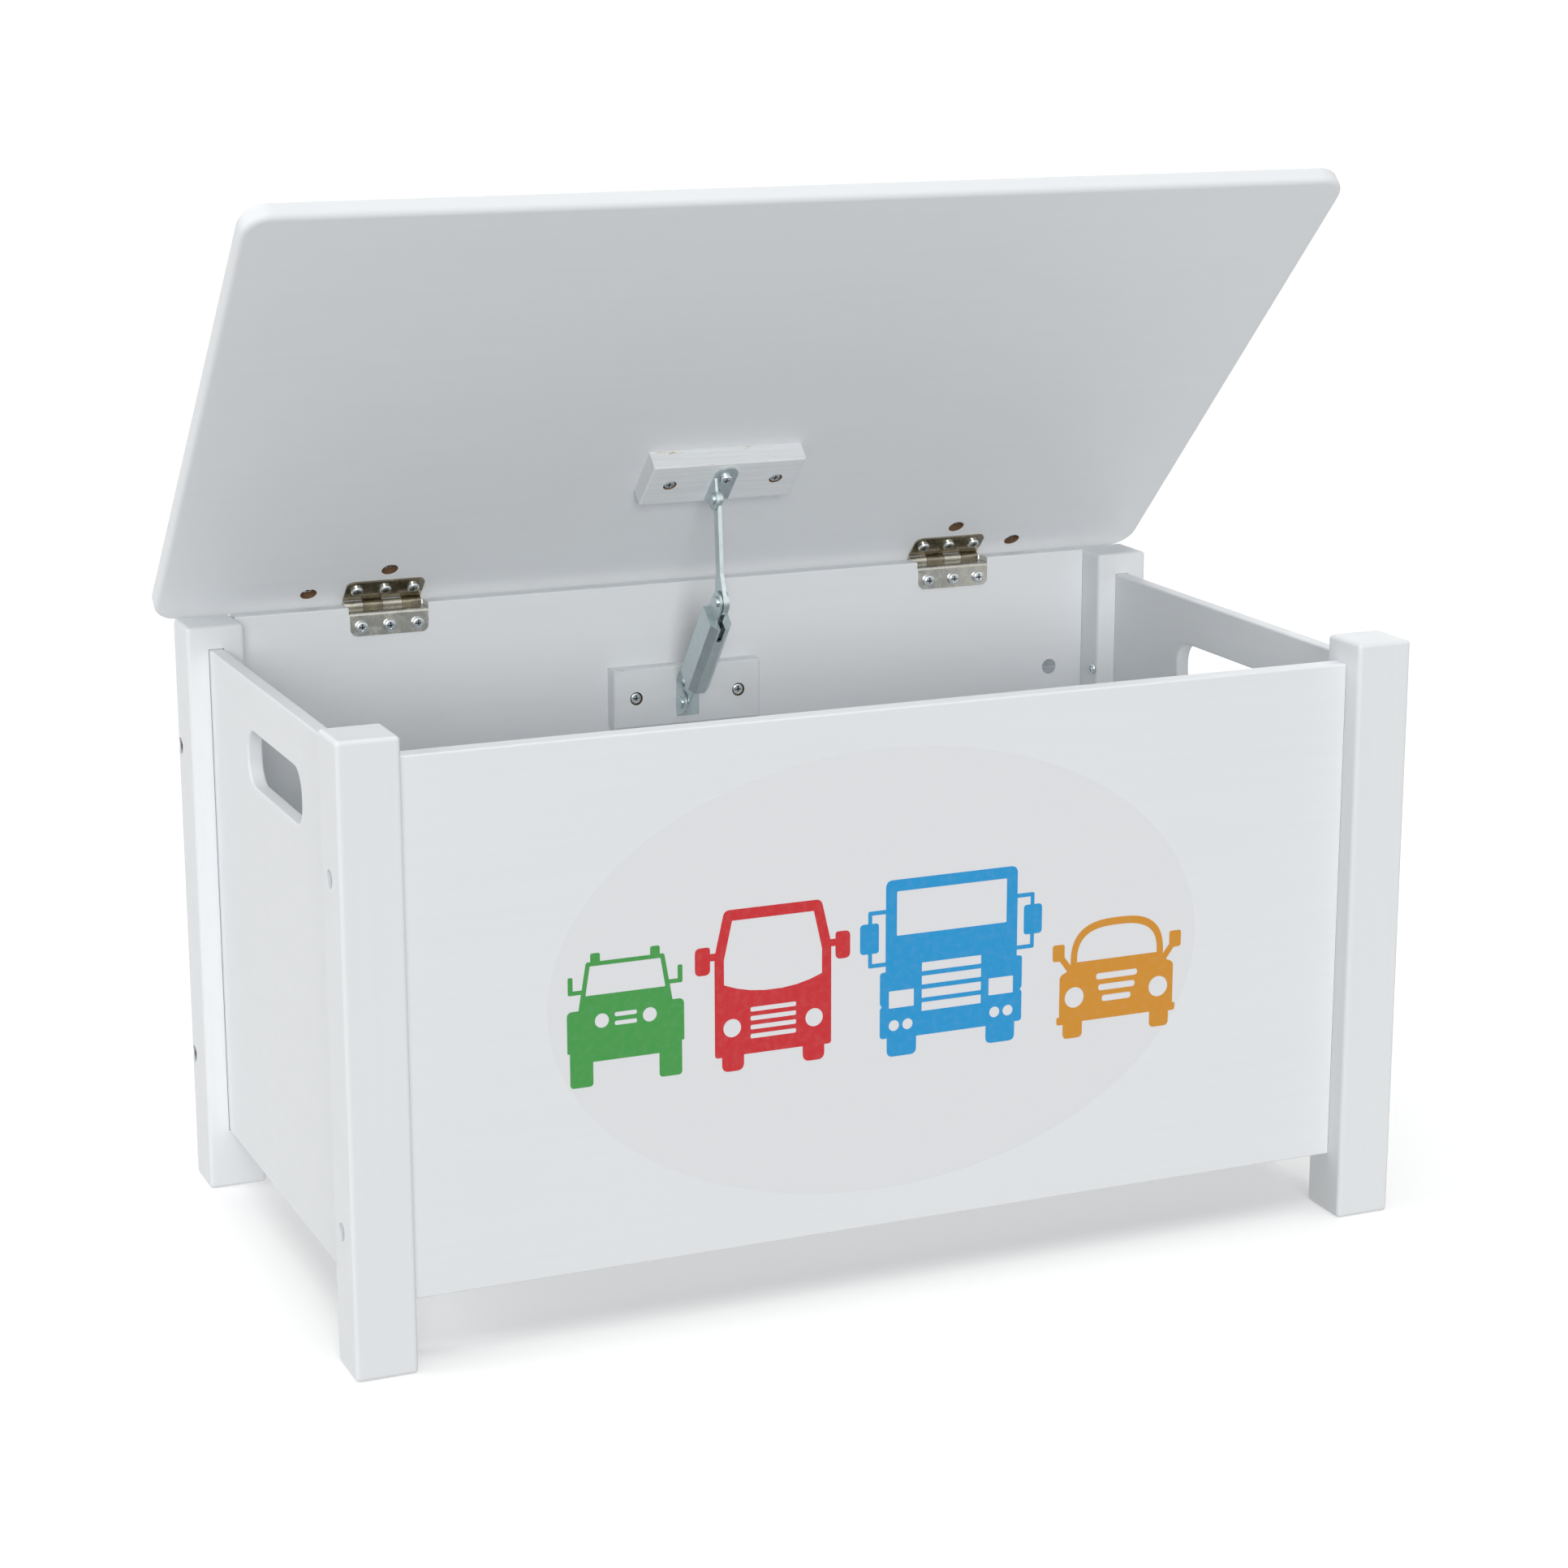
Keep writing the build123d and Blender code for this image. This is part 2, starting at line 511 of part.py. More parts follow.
def cross_dowel_row(inner_y, inner_side):
    """The four slotted cross-dowel nuts of one long panel, flush with its inner face."""
    nut_x = post_inner_x - JOINT_GAP - NUT_INSET
    with BuildPart() as nuts:
        for x in (-nut_x, nut_x):
            for z in bolt_heights:
                face = Plane(origin=(x, inner_y, z), x_dir=(1, 0, 0), z_dir=(0, inner_side, 0))
                with BuildSketch(face):
                    Circle(NUT_RADIUS)
                extrude(amount=-nut_length)
                with BuildSketch(face):
                    Rectangle(2 * NUT_RADIUS, NUT_SLOT_WIDTH)
                extrude(amount=-NUT_SLOT_WIDTH, mode=Mode.SUBTRACT)
                cross = Plane(
                    origin=(x, inner_y - inner_side * LONG_PANEL_THICKNESS / 2, z),
                    x_dir=(0, 1, 0),
                    z_dir=(1, 0, 0),
                )
                with BuildSketch(cross):
                    Circle(BOLT_RADIUS + NUT_THREAD_CLEARANCE)
                extrude(amount=NUT_RADIUS, both=True, mode=Mode.SUBTRACT)
    return nuts


cross_dowels_front = cross_dowel_row(front_inner_y, 1)
cross_dowels_front.part.label = "cross_dowels_front"
export_step(cross_dowels_front.part, "parts/cross_dowels_front.step")

cross_dowels_rear = cross_dowel_row(back_inner_y, -1)
cross_dowels_rear.part.label = "cross_dowels_rear"
export_step(cross_dowels_rear.part, "parts/cross_dowels_rear.step")

with BuildPart() as dowels:
    for dowel_y in (front_panel_y, back_panel_y):
        for dowel_side in (-1, 1):
            joint_plane = Plane(
                origin=(dowel_side * post_inner_x, dowel_y, DOWEL_HEIGHT), x_dir=(0, 1, 0), z_dir=(1, 0, 0)
            )
            with BuildSketch(joint_plane):
                Circle(DOWEL_RADIUS)
            extrude(amount=DOWEL_LENGTH / 2, both=True)
dowels.part.label = "dowels"
export_step(dowels.part, "parts/dowels.step")

# Screws through the posts' inner faces that pin the side panels' tongues.
pin_screw_solid = cross_head_screw(pin_screw_length)
with BuildPart() as side_panel_screws:
    for corner_x, corner_y in corners.values():
        pin_plane = Plane(origin=(corner_x * post_inner_x, 0, 0), x_dir=(0, 1, 0), z_dir=(-corner_x, 0, 0))
        pin_y = pin_screw_ys[corner_y]
        with Locations(*[pin_plane.location * Location((pin_y, -corner_x * z, 0)) for z in bolt_heights]):
            add(pin_screw_solid)
side_panel_screws.part.label = "side_panel_screws"
export_step(side_panel_screws.part, "parts/side_panel_screws.step")

# ---------------------------------------------------------------- lid
upper_hinge_screw_points = [
    (hinge_x + offset_x, -UPPER_SCREW_REACH) for hinge_x in hinge_xs for offset_x in hinge_screw_offsets
]
upper_block_screw_points = [(x, -UPPER_BLOCK_REACH) for x in (-BLOCK_SCREW_SPAN / 2, BLOCK_SCREW_SPAN / 2)]
rear_screw_x = hinge_centre_x + LID_SCREW_OUTBOARD
lid_screw_points = [(x, -LID_SCREW_REAR_REACH) for x in (-rear_screw_x, rear_screw_x)]
lid_screw_points += [(x, -LID_SCREW_FRONT_REACH) for x in hinge_xs]
# Local +Z of this plane points down out of the lid's underside, and local Y is unchanged.
lid_face_plane = Plane(
    origin=lid_under_plane.origin, x_dir=(-1, 0, 0), z_dir=(0, -sin(open_angle), -cos(open_angle))
)


with BuildPart() as lid:
    with BuildSketch(lid_under_plane):
        with Locations((0, LID_REAR_OVERHANG - lid_depth / 2)):
            RectangleRounded(lid_width, lid_depth, LID_CORNER_RADIUS)
    extrude(amount=LID_THICKNESS)
    rims = lid.faces().filter_by(lid_under_plane).edges()
    fillet(rims, LID_EDGE_RADIUS)
    with Locations(*places_on(lid_face_plane, upper_hinge_screw_points)):
        Hole(screw_hole_radius, depth=HINGE_SCREW_LENGTH - HINGE_SHEET + SCREW_HOLE_CLEARANCE)
    with Locations(*places_on(lid_face_plane, upper_block_screw_points)):
        Hole(
            screw_hole_radius,
            depth=BLOCK_SCREW_LENGTH - BLOCK_THICKNESS + BLOCK_COUNTERBORE_DEPTH + SCREW_HOLE_CLEARANCE,
        )
    with Locations(*places_on(lid_face_plane, lid_screw_points)):
        CounterBoreHole(
            screw_hole_radius,
            LID_SCREW_RECESS_RADIUS,
            LID_SCREW_RECESS_DEPTH,
            depth=LID_SCREW_RECESS_DEPTH + LID_SCREW_LENGTH + SCREW_HOLE_CLEARANCE,
        )
lid.part.label = "lid"
export_step(lid.part, "parts/lid.step")

lid_recess_plane = lid_face_plane.offset(-LID_SCREW_RECESS_DEPTH)
lid_screw_solid = cross_head_screw(LID_SCREW_LENGTH)
with BuildPart() as lid_screws:
    with Locations(*places_on(lid_recess_plane, lid_screw_points)):
        add(lid_screw_solid)
lid_screws.part.label = "lid_screws"
export_step(lid_screws.part, "parts/lid_screws.step")


# ---------------------------------------------------------------- hinges
def knuckle_sketch(axis_plane):
    """One knuckle's ring, drawn on a plane whose normal is the hinge axis."""
    with BuildSketch(axis_plane) as ring:
        Circle(BARREL_RADIUS)
        Circle(HINGE_PIN_RADIUS + HINGE_PIN_CLEARANCE, mode=Mode.SUBTRACT)
    return ring.sketch


def knuckle_start(hinge_x, index):
    """The X where a knuckle begins, leaving half the gap on each side of it."""
    return hinge_x - HINGE_LENGTH / 2 + index * knuckle_pitch + KNUCKLE_GAP / 2


def make_lower_leaf(hinge_x):
    """The cranked leaf: down the back panel's inner face, over its notch, and round the pin."""
    first = hinge_x - HINGE_LENGTH / 2
    section = Plane(origin=(first, 0, 0), x_dir=(0, 1, 0), z_dir=(1, 0, 0))
    face_y = back_inner_y - HINGE_SHEET
    bend_top = leaf_floor_z + HINGE_SHEET
    foot_z = BODY_HEIGHT - LOWER_LEAF_DROP
    knuckle_length = knuckle_pitch - KNUCKLE_GAP
    with BuildPart() as leaf:
        with BuildSketch(section):
            with BuildLine():
                Polyline(
                    (face_y, foot_z),
                    (face_y, bend_top),
                    (hinge_axis_y, bend_top),
                    (hinge_axis_y, leaf_floor_z),
                    (back_inner_y, leaf_floor_z),
                    (back_inner_y, foot_z),
                    close=True,
                )
            make_face()
        extrude(amount=HINGE_LENGTH)
        bend_edge = leaf.edges().filter_by(Axis.X).group_by(Axis.Z)[-1].sort_by(Axis.Y)[0]
        fillet(bend_edge, LEAF_BEND_RADIUS)
        foot_corners = leaf.edges().filter_by(Axis.Y).group_by(Axis.Z)[0]
        fillet(foot_corners, LEAF_CORNER_RADIUS)
        for index in range(KNUCKLE_COUNT):
            start_x = knuckle_start(hinge_x, index)
            axis_plane = Plane(
                origin=(start_x, hinge_axis_y, hinge_axis_z), x_dir=(0, 1, 0), z_dir=(1, 0, 0)
            )
            if index % 2 == 0:
                with BuildSketch(axis_plane):
                    Circle(HINGE_PIN_RADIUS + HINGE_PIN_CLEARANCE)
                extrude(amount=knuckle_length, mode=Mode.SUBTRACT)
                extrude(knuckle_sketch(axis_plane), amount=knuckle_length)
            else:
                with BuildSketch(axis_plane.offset(-KNUCKLE_GAP)):
                    Rectangle(2 * (BARREL_RADIUS + KNUCKLE_GAP), 2 * (BARREL_RADIUS + KNUCKLE_GAP))
                extrude(amount=knuckle_pitch + KNUCKLE_GAP, mode=Mode.SUBTRACT)
        with Locations(
            *places_on(
                back_face_plane.offset(HINGE_SHEET),
                [(hinge_x + offset_x, lower_screw_z) for offset_x in hinge_screw_offsets],
            )
        ):
            Hole(screw_hole_radius, depth=2 * HINGE_SHEET)
    return leaf


def make_upper_leaf(hinge_x):
    """The flat leaf under the lid, with its knuckles between the lower leaf's."""
    knuckle_length = knuckle_pitch - KNUCKLE_GAP
    clear_y = BARREL_RADIUS + KNUCKLE_GAP
    plate_length = UPPER_LEAF_REACH - clear_y
    with BuildPart() as leaf:
        with BuildSketch(lid_under_plane):
            with Locations((hinge_x, -(UPPER_LEAF_REACH + clear_y) / 2)):
                Rectangle(HINGE_LENGTH, plate_length)
        extrude(amount=-HINGE_SHEET)
        upright_edges = leaf.edges().filter_by(Axis((0, 0, 0), lid_plane.z_dir))
        front_corners = upright_edges.sort_by(Axis((0, 0, 0), lid_plane.y_dir))[0:2]
        fillet(front_corners, LEAF_CORNER_RADIUS)
        for index in range(1, KNUCKLE_COUNT, 2):
            start_x = knuckle_start(hinge_x, index)
            axis_plane = Plane(
                origin=(start_x, hinge_axis_y, hinge_axis_z), x_dir=lid_plane.y_dir, z_dir=(1, 0, 0)
            )
            with BuildSketch(axis_plane):
                with Locations((-clear_y / 2, LID_ABOVE_AXIS - HINGE_SHEET / 2)):
                    Rectangle(clear_y, HINGE_SHEET)
            extrude(amount=knuckle_length)
            extrude(knuckle_sketch(axis_plane), amount=knuckle_length)
            with BuildSketch(axis_plane):
                Circle(HINGE_PIN_RADIUS + HINGE_PIN_CLEARANCE)
            extrude(amount=knuckle_length, mode=Mode.SUBTRACT)
        with Locations(
            *places_on(
                lid_face_plane.offset(HINGE_SHEET),
                [(hinge_x + offset_x, -UPPER_SCREW_REACH) for offset_x in hinge_screw_offsets],
            )
        ):
            Hole(screw_hole_radius, depth=2 * HINGE_SHEET)
    return leaf


def make_hinge_pin(hinge_x):
    """The hinge pin, a little longer than the barrel and rounded at its ends."""
    overhang = KNUCKLE_GAP
    start = Plane(
        origin=(hinge_x - HINGE_LENGTH / 2 - overhang, hinge_axis_y, hinge_axis_z),
        x_dir=(0, 1, 0),
        z_dir=(1, 0, 0),
    )
    with BuildPart() as pin:
        with BuildSketch(start):
            Circle(HINGE_PIN_RADIUS)
        extrude(amount=HINGE_LENGTH + 2 * overhang)
        fillet(pin.edges(), HINGE_PIN_ROUNDING)
    return pin


for hinge_name, hinge_place in (("left", hinge_xs[0]), ("right", hinge_xs[1])):
    lower_leaf = make_lower_leaf(hinge_place)
    lower_leaf.part.label = "hinge_lower_leaf_" + hinge_name
    export_step(lower_leaf.part, "parts/hinge_lower_leaf_" + hinge_name + ".step")
    upper_leaf = make_upper_leaf(hinge_place)
    upper_leaf.part.label = "hinge_upper_leaf_" + hinge_name
    export_step(upper_leaf.part, "parts/hinge_upper_leaf_" + hinge_name + ".step")
    hinge_pin = make_hinge_pin(hinge_place)
    hinge_pin.part.label = "hinge_pin_" + hinge_name
    export_step(hinge_pin.part, "parts/hinge_pin_" + hinge_name + ".step")

hinge_screw_solid = cross_head_screw(HINGE_SCREW_LENGTH)
with BuildPart() as hinge_screws_lower:
    with Locations(*places_on(back_face_plane.offset(HINGE_SHEET), lower_hinge_screw_points)):
        add(hinge_screw_solid)
hinge_screws_lower.part.label = "hinge_screws_lower"
export_step(hinge_screws_lower.part, "parts/hinge_screws_lower.step")

with BuildPart() as hinge_screws_upper:
    with Locations(*places_on(lid_face_plane.offset(HINGE_SHEET), upper_hinge_screw_points)):
        add(hinge_screw_solid)
hinge_screws_upper.part.label = "hinge_screws_upper"
export_step(hinge_screws_upper.part, "parts/hinge_screws_upper.step")


# ---------------------------------------------------------------- wood blocks for the stay
def make_block(face_plane, centre_y, bracket_screw_y):
    """A painted block; face_plane is its front face, and the block lies behind it."""
    with BuildPart() as block:
        with BuildSketch(face_plane):
            with Locations((0, centre_y)):
                Rectangle(BLOCK_WIDTH, BLOCK_HEIGHT)
        extrude(amount=-BLOCK_THICKNESS)
        front_rim = block.faces().filter_by(face_plane).sort_by(Axis((0, 0, 0), face_plane.z_dir))[-1]
        chamfer(front_rim.edges(), BLOCK_EDGE)
        screw_points = [(x, centre_y) for x in (-BLOCK_SCREW_SPAN / 2, BLOCK_SCREW_SPAN / 2)]
        with Locations(*places_on(face_plane, screw_points)):
            CounterBoreHole(
                screw_hole_radius, BLOCK_COUNTERBORE_RADIUS, BLOCK_COUNTERBORE_DEPTH, depth=2 * BLOCK_THICKNESS
            )
        with Locations(*places_on(face_plane, [(bracket_middle_x, bracket_screw_y)])):
            Hole(screw_hole_radius, depth=BRACKET_SCREW_LENGTH - STAY_SHEET + SCREW_HOLE_CLEARANCE)
    return block


lower_face_plane = back_face_plane.offset(BLOCK_THICKNESS)
upper_face_plane = lid_face_plane.offset(BLOCK_THICKNESS)
lower_bracket_screw_z = lower_pivot[1] + BRACKET_SCREW_FROM_PIVOT
upper_bracket_screw_y = -(upper_pivot_reach + BRACKET_SCREW_FROM_PIVOT)

stay_block_lower = make_block(lower_face_plane, lower_block_z, lower_bracket_screw_z)
stay_block_lower.part.label = "stay_block_lower"
export_step(stay_block_lower.part, "parts/stay_block_lower.step")

stay_block_upper = make_block(upper_face_plane, -UPPER_BLOCK_REACH, upper_bracket_screw_y)
stay_block_upper.part.label = "stay_block_upper"
export_step(stay_block_upper.part, "parts/stay_block_upper.step")

block_screw_solid = cross_head_screw(BLOCK_SCREW_LENGTH)
with BuildPart() as block_screws_lower:
    seat_plane = lower_face_plane.offset(-BLOCK_COUNTERBORE_DEPTH)
    with Locations(*places_on(seat_plane, lower_block_screw_points)):
        add(block_screw_solid)
block_screws_lower.part.label = "block_screws_lower"
export_step(block_screws_lower.part, "parts/block_screws_lower.step")

with BuildPart() as block_screws_upper:
    seat_plane = upper_face_plane.offset(-BLOCK_COUNTERBORE_DEPTH)
    with Locations(*places_on(seat_plane, upper_block_screw_points)):
        add(block_screw_solid)
block_screws_upper.part.label = "block_screws_upper"
export_step(block_screws_upper.part, "parts/block_screws_upper.step")


# ---------------------------------------------------------------- stay brackets
def make_bracket(face_plane, pivot_y, screw_y):
    """An angle bracket: a flange flat on the block and a side flange that carries the pivot."""
    end_side = 1 if screw_y > pivot_y else -1
    first_y = pivot_y - end_side * BRACKET_PIVOT_FROM_END
    middle_y = first_y + end_side * BRACKET_LENGTH / 2
    flange_x = STAY_X + flange_offset
    side_plane = Plane(
        origin=face_plane.origin + Vector(flange_x, 0, 0), x_dir=face_plane.y_dir, z_dir=(1, 0, 0)
    )
    stand = 1 if side_plane.y_dir.dot(face_plane.z_dir) > 0 else -1
    with BuildPart() as bracket:
        with BuildSketch(face_plane):
            with Locations((bracket_middle_x * face_plane.x_dir.X, middle_y)):
                Rectangle(BRACKET_WIDTH, BRACKET_LENGTH)
        extrude(amount=STAY_SHEET)
        upright = bracket.edges().filter_by(Axis((0, 0, 0), face_plane.z_dir))
        far_corners = upright.sort_by(Axis((0, 0, 0), face_plane.y_dir * end_side))[-2:]
        fillet(far_corners, (BRACKET_WIDTH - BRACKET_END_FLAT) / 2)
        with BuildSketch(side_plane):
            with BuildLine():
                Polyline(
                    (first_y, 0),
                    (first_y + end_side * (BRACKET_LENGTH - BRACKET_WIDTH / 2), 0),
                    (pivot_y + end_side * BRACKET_FLANGE_RADIUS, stand * PIVOT_STANDOFF),
                    (pivot_y - end_side * BRACKET_FLANGE_RADIUS, stand * PIVOT_STANDOFF),
                    close=True,
                )
            make_face()
            with Locations((pivot_y, stand * PIVOT_STANDOFF)):
                Circle(BRACKET_FLANGE_RADIUS)
            with Locations((pivot_y, stand * PIVOT_STANDOFF)):
                Circle(RIVET_RADIUS + RIVET_CLEARANCE, mode=Mode.SUBTRACT)
        extrude(amount=STAY_SHEET)
        with Locations(*places_on(face_plane.offset(STAY_SHEET), [(bracket_middle_x, screw_y)])):
            Hole(screw_hole_radius, depth=2 * STAY_SHEET)
    return bracket


stay_bracket_lower = make_bracket(lower_face_plane, lower_pivot[1], lower_bracket_screw_z)
stay_bracket_lower.part.label = "stay_bracket_lower"
export_step(stay_bracket_lower.part, "parts/stay_bracket_lower.step")

stay_bracket_upper = make_bracket(upper_face_plane, -upper_pivot_reach, upper_bracket_screw_y)
stay_bracket_upper.part.label = "stay_bracket_upper"
export_step(stay_bracket_upper.part, "parts/stay_bracket_upper.step")

bracket_screw_solid = cross_head_screw(BRACKET_SCREW_LENGTH)
with BuildPart() as bracket_screw_lower:
    seat_plane = lower_face_plane.offset(STAY_SHEET)
    with Locations(*places_on(seat_plane, [(bracket_middle_x, lower_bracket_screw_z)])):
        add(bracket_screw_solid)
bracket_screw_lower.part.label = "bracket_screw_lower"
export_step(bracket_screw_lower.part, "parts/bracket_screw_lower.step")

with BuildPart() as bracket_screw_upper:
    seat_plane = upper_face_plane.offset(STAY_SHEET)
    with Locations(*places_on(seat_plane, [(bracket_middle_x, upper_bracket_screw_y)])):
        add(bracket_screw_solid)
bracket_screw_upper.part.label = "bracket_screw_upper"
export_step(bracket_screw_upper.part, "parts/bracket_screw_upper.step")

# ---------------------------------------------------------------- stay arm
with BuildPart() as stay_arm:
    with BuildSketch(arm_plane):
        Circle(ARM_END_RADIUS)
        with Locations((ARM_LENGTH / 2, 0)):
            Rectangle(ARM_LENGTH, 2 * ARM_HALF_WIDTH)
        with BuildLine():
            Polyline(
                (ARM_LENGTH - ARM_TAPER, ARM_HALF_WIDTH),
                (ARM_LENGTH, ARM_KNEE_RADIUS),
                (ARM_LENGTH, -ARM_KNEE_RADIUS),
                (ARM_LENGTH - ARM_TAPER, -ARM_HALF_WIDTH),
                close=True,
            )
        make_face()
        with Locations((ARM_LENGTH, 0)):
            Circle(ARM_KNEE_RADIUS)
        with Locations((ARM_LENGTH, 0)):
            Circle(RIVET_RADIUS + KNEE_PLAY, mode=Mode.SUBTRACT)
        Circle(RIVET_RADIUS + RIVET_CLEARANCE, mode=Mode.SUBTRACT)
    extrude(amount=ARM_THICKNESS / 2, both=True)
stay_arm.part.label = "stay_arm"
export_step(stay_arm.part, "parts/stay_arm.step")


# ---------------------------------------------------------------- stay housing
def housing_outline(section_plane, inset):
    """The housing's six-sided section: square at the back, chamfered at the front."""
    half_x = HOUSING_WIDTH / 2 - inset
    back = HOUSING_OFFSET - HOUSING_DEPTH / 2 + inset
    front = HOUSING_OFFSET + HOUSING_DEPTH / 2 - inset
    with BuildSketch(section_plane) as outline:
        with BuildLine():
            Polyline(
                (back, -half_x),
                (front - HOUSING_CHAMFER, -half_x),
                (front, -half_x + HOUSING_CHAMFER),
                (front, half_x - HOUSING_CHAMFER),
                (front - HOUSING_CHAMFER, half_x),
                (back, half_x),
                close=True,
            )
        make_face()
    return outline.sketch


def housing_section(distance):
    """The plane across the housing at a distance from the lower pivot."""
    return Plane(
        origin=housing_plane.from_local_coords((distance, 0, 0)),
        x_dir=housing_plane.y_dir,
        z_dir=housing_plane.x_dir,
    )


ear_inner = ARM_THICKNESS / 2 + STAY_GAP
with BuildPart() as stay_housing:
    # folded shell with a plate across each end
    extrude(housing_outline(housing_section(HOUSING_START), 0), amount=housing_end - HOUSING_START)
    extrude(
        housing_outline(housing_section(HOUSING_START + HOUSING_SHEET), HOUSING_SHEET),
        amount=housing_end - HOUSING_START - 2 * HOUSING_SHEET,
        mode=Mode.SUBTRACT,
    )
    # slot through the front, the back and the end plate, in which the arm folds
    with BuildSketch(housing_plane):
        with Locations((housing_end - HOUSING_SLOT_LENGTH / 2, HOUSING_OFFSET)):
            Rectangle(HOUSING_SLOT_LENGTH, HOUSING_DEPTH + 2 * HOUSING_SHEET)
    extrude(amount=ear_inner, both=True, mode=Mode.SUBTRACT)
    # ears that carry the knee rivet, one on each side of the arm
    for ear_side in (-1, 1):
        with BuildSketch(housing_plane.offset(ear_side * ear_inner)):
            with Locations(((housing_end - HOUSING_SHEET + HOUSING_LENGTH) / 2, 0)):
                Rectangle(HOUSING_KNEE_ROOM + HOUSING_SHEET, 2 * EAR_RADIUS)
            with Locations((HOUSING_LENGTH, 0)):
                Circle(EAR_RADIUS)
            with Locations((HOUSING_LENGTH, 0)):
                Circle(RIVET_RADIUS + RIVET_CLEARANCE, mode=Mode.SUBTRACT)
        extrude(amount=ear_side * TANG_SHEET)
    # tang that turns on the lower rivet
    with BuildSketch(housing_plane.offset(-ARM_THICKNESS / 2)):
        with Locations(((HOUSING_START + HOUSING_SHEET) / 2, 0)):
            Rectangle(HOUSING_START + HOUSING_SHEET, 2 * TANG_RADIUS)
        Circle(TANG_RADIUS)
        Circle(RIVET_RADIUS + RIVET_CLEARANCE, mode=Mode.SUBTRACT)
    extrude(amount=TANG_SHEET)
stay_housing.part.label = "stay_housing"
export_step(stay_housing.part, "parts/stay_housing.step")

# ---------------------------------------------------------------- spring and plunger in the housing
plunger_tip = HOUSING_LENGTH - ARM_KNEE_RADIUS - PLUNGER_ARM_GAP
plunger_nose_length = HOUSING_SLOT_LENGTH + HOUSING_KNEE_ROOM - ARM_KNEE_RADIUS
plunger_head_start = plunger_tip - plunger_nose_length - PLUNGER_HEAD_LENGTH
spring_start = HOUSING_START + HOUSING_SHEET + SPRING_WIRE_RADIUS
spring_end = plunger_head_start - SPRING_WIRE_RADIUS


def core_section(distance):
    """The plane across the spring and plunger, centred on the housing's section."""
    return Plane(
        origin=housing_plane.from_local_coords((distance, HOUSING_OFFSET, 0)),
        x_dir=housing_plane.y_dir,
        z_dir=housing_plane.x_dir,
    )


with BuildPart() as stay_plunger:
    with BuildSketch(core_section(plunger_head_start - PLUNGER_STEM_LENGTH)):
        Circle(PLUNGER_STEM_RADIUS)
    extrude(amount=PLUNGER_STEM_LENGTH)
    with BuildSketch(core_section(plunger_head_start)):
        Circle(PLUNGER_HEAD_RADIUS)
    extrude(amount=PLUNGER_HEAD_LENGTH)
    with BuildSketch(core_section(plunger_head_start + PLUNGER_HEAD_LENGTH)):
        Rectangle(2 * PLUNGER_NOSE_RADIUS, ARM_THICKNESS)
    extrude(amount=plunger_nose_length)
stay_plunger.part.label = "stay_plunger"
export_step(stay_plunger.part, "parts/stay_plunger.step")

spring_length = spring_end - spring_start
with BuildPart() as stay_spring:
    with BuildLine():
        coil = Helix(
            pitch=spring_length / SPRING_TURNS,
            height=spring_length,
            radius=SPRING_RADIUS,
            center=core_section(spring_start).origin,
            direction=housing_plane.x_dir,
        )
    with BuildSketch(Plane(origin=coil @ 0, z_dir=coil % 0)):
        Circle(SPRING_WIRE_RADIUS)
    sweep(path=coil, is_frenet=True)
stay_spring.part.label = "stay_spring"
export_step(stay_spring.part, "parts/stay_spring.step")


# ---------------------------------------------------------------- rivets
def place_rivet(plane, grip):
    """A rivet on its own, standing on a plane."""
    solid = rivet(grip)
    with BuildPart() as placed:
        with Locations(plane.location):
            add(solid)
    return placed


bracket_grip = STAY_SHEET + STAY_GAP + ARM_THICKNESS + STAY_GAP
rivet_lower = place_rivet(
    housing_plane.offset(flange_offset), STAY_SHEET + STAY_GAP + TANG_SHEET + STAY_GAP
)
rivet_lower.part.label = "rivet_lower"
export_step(rivet_lower.part, "parts/rivet_lower.step")

rivet_upper = place_rivet(arm_plane.offset(flange_offset), bracket_grip)
rivet_upper.part.label = "rivet_upper"
export_step(rivet_upper.part, "parts/rivet_upper.step")

knee_plane = Plane(
    origin=(STAY_X - ear_inner - TANG_SHEET, knee_pivot[0], knee_pivot[1]), x_dir=(0, 1, 0), z_dir=(1, 0, 0)
)
rivet_knee = place_rivet(knee_plane, 2 * (ear_inner + TANG_SHEET))
rivet_knee.part.label = "rivet_knee"
export_step(rivet_knee.part, "parts/rivet_knee.step")

print("hinge axis", round(hinge_axis_y, 3), round(hinge_axis_z, 3))
print("lower pivot", [round(value, 3) for value in lower_pivot])
print("upper pivot", [round(value, 3) for value in upper_pivot])
print("knee pivot", [round(value, 3) for value in knee_pivot])
print("housing angle", round(degrees(housing_angle), 3))
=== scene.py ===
import math

import bmesh
import bpy
from mathutils import Matrix, Vector


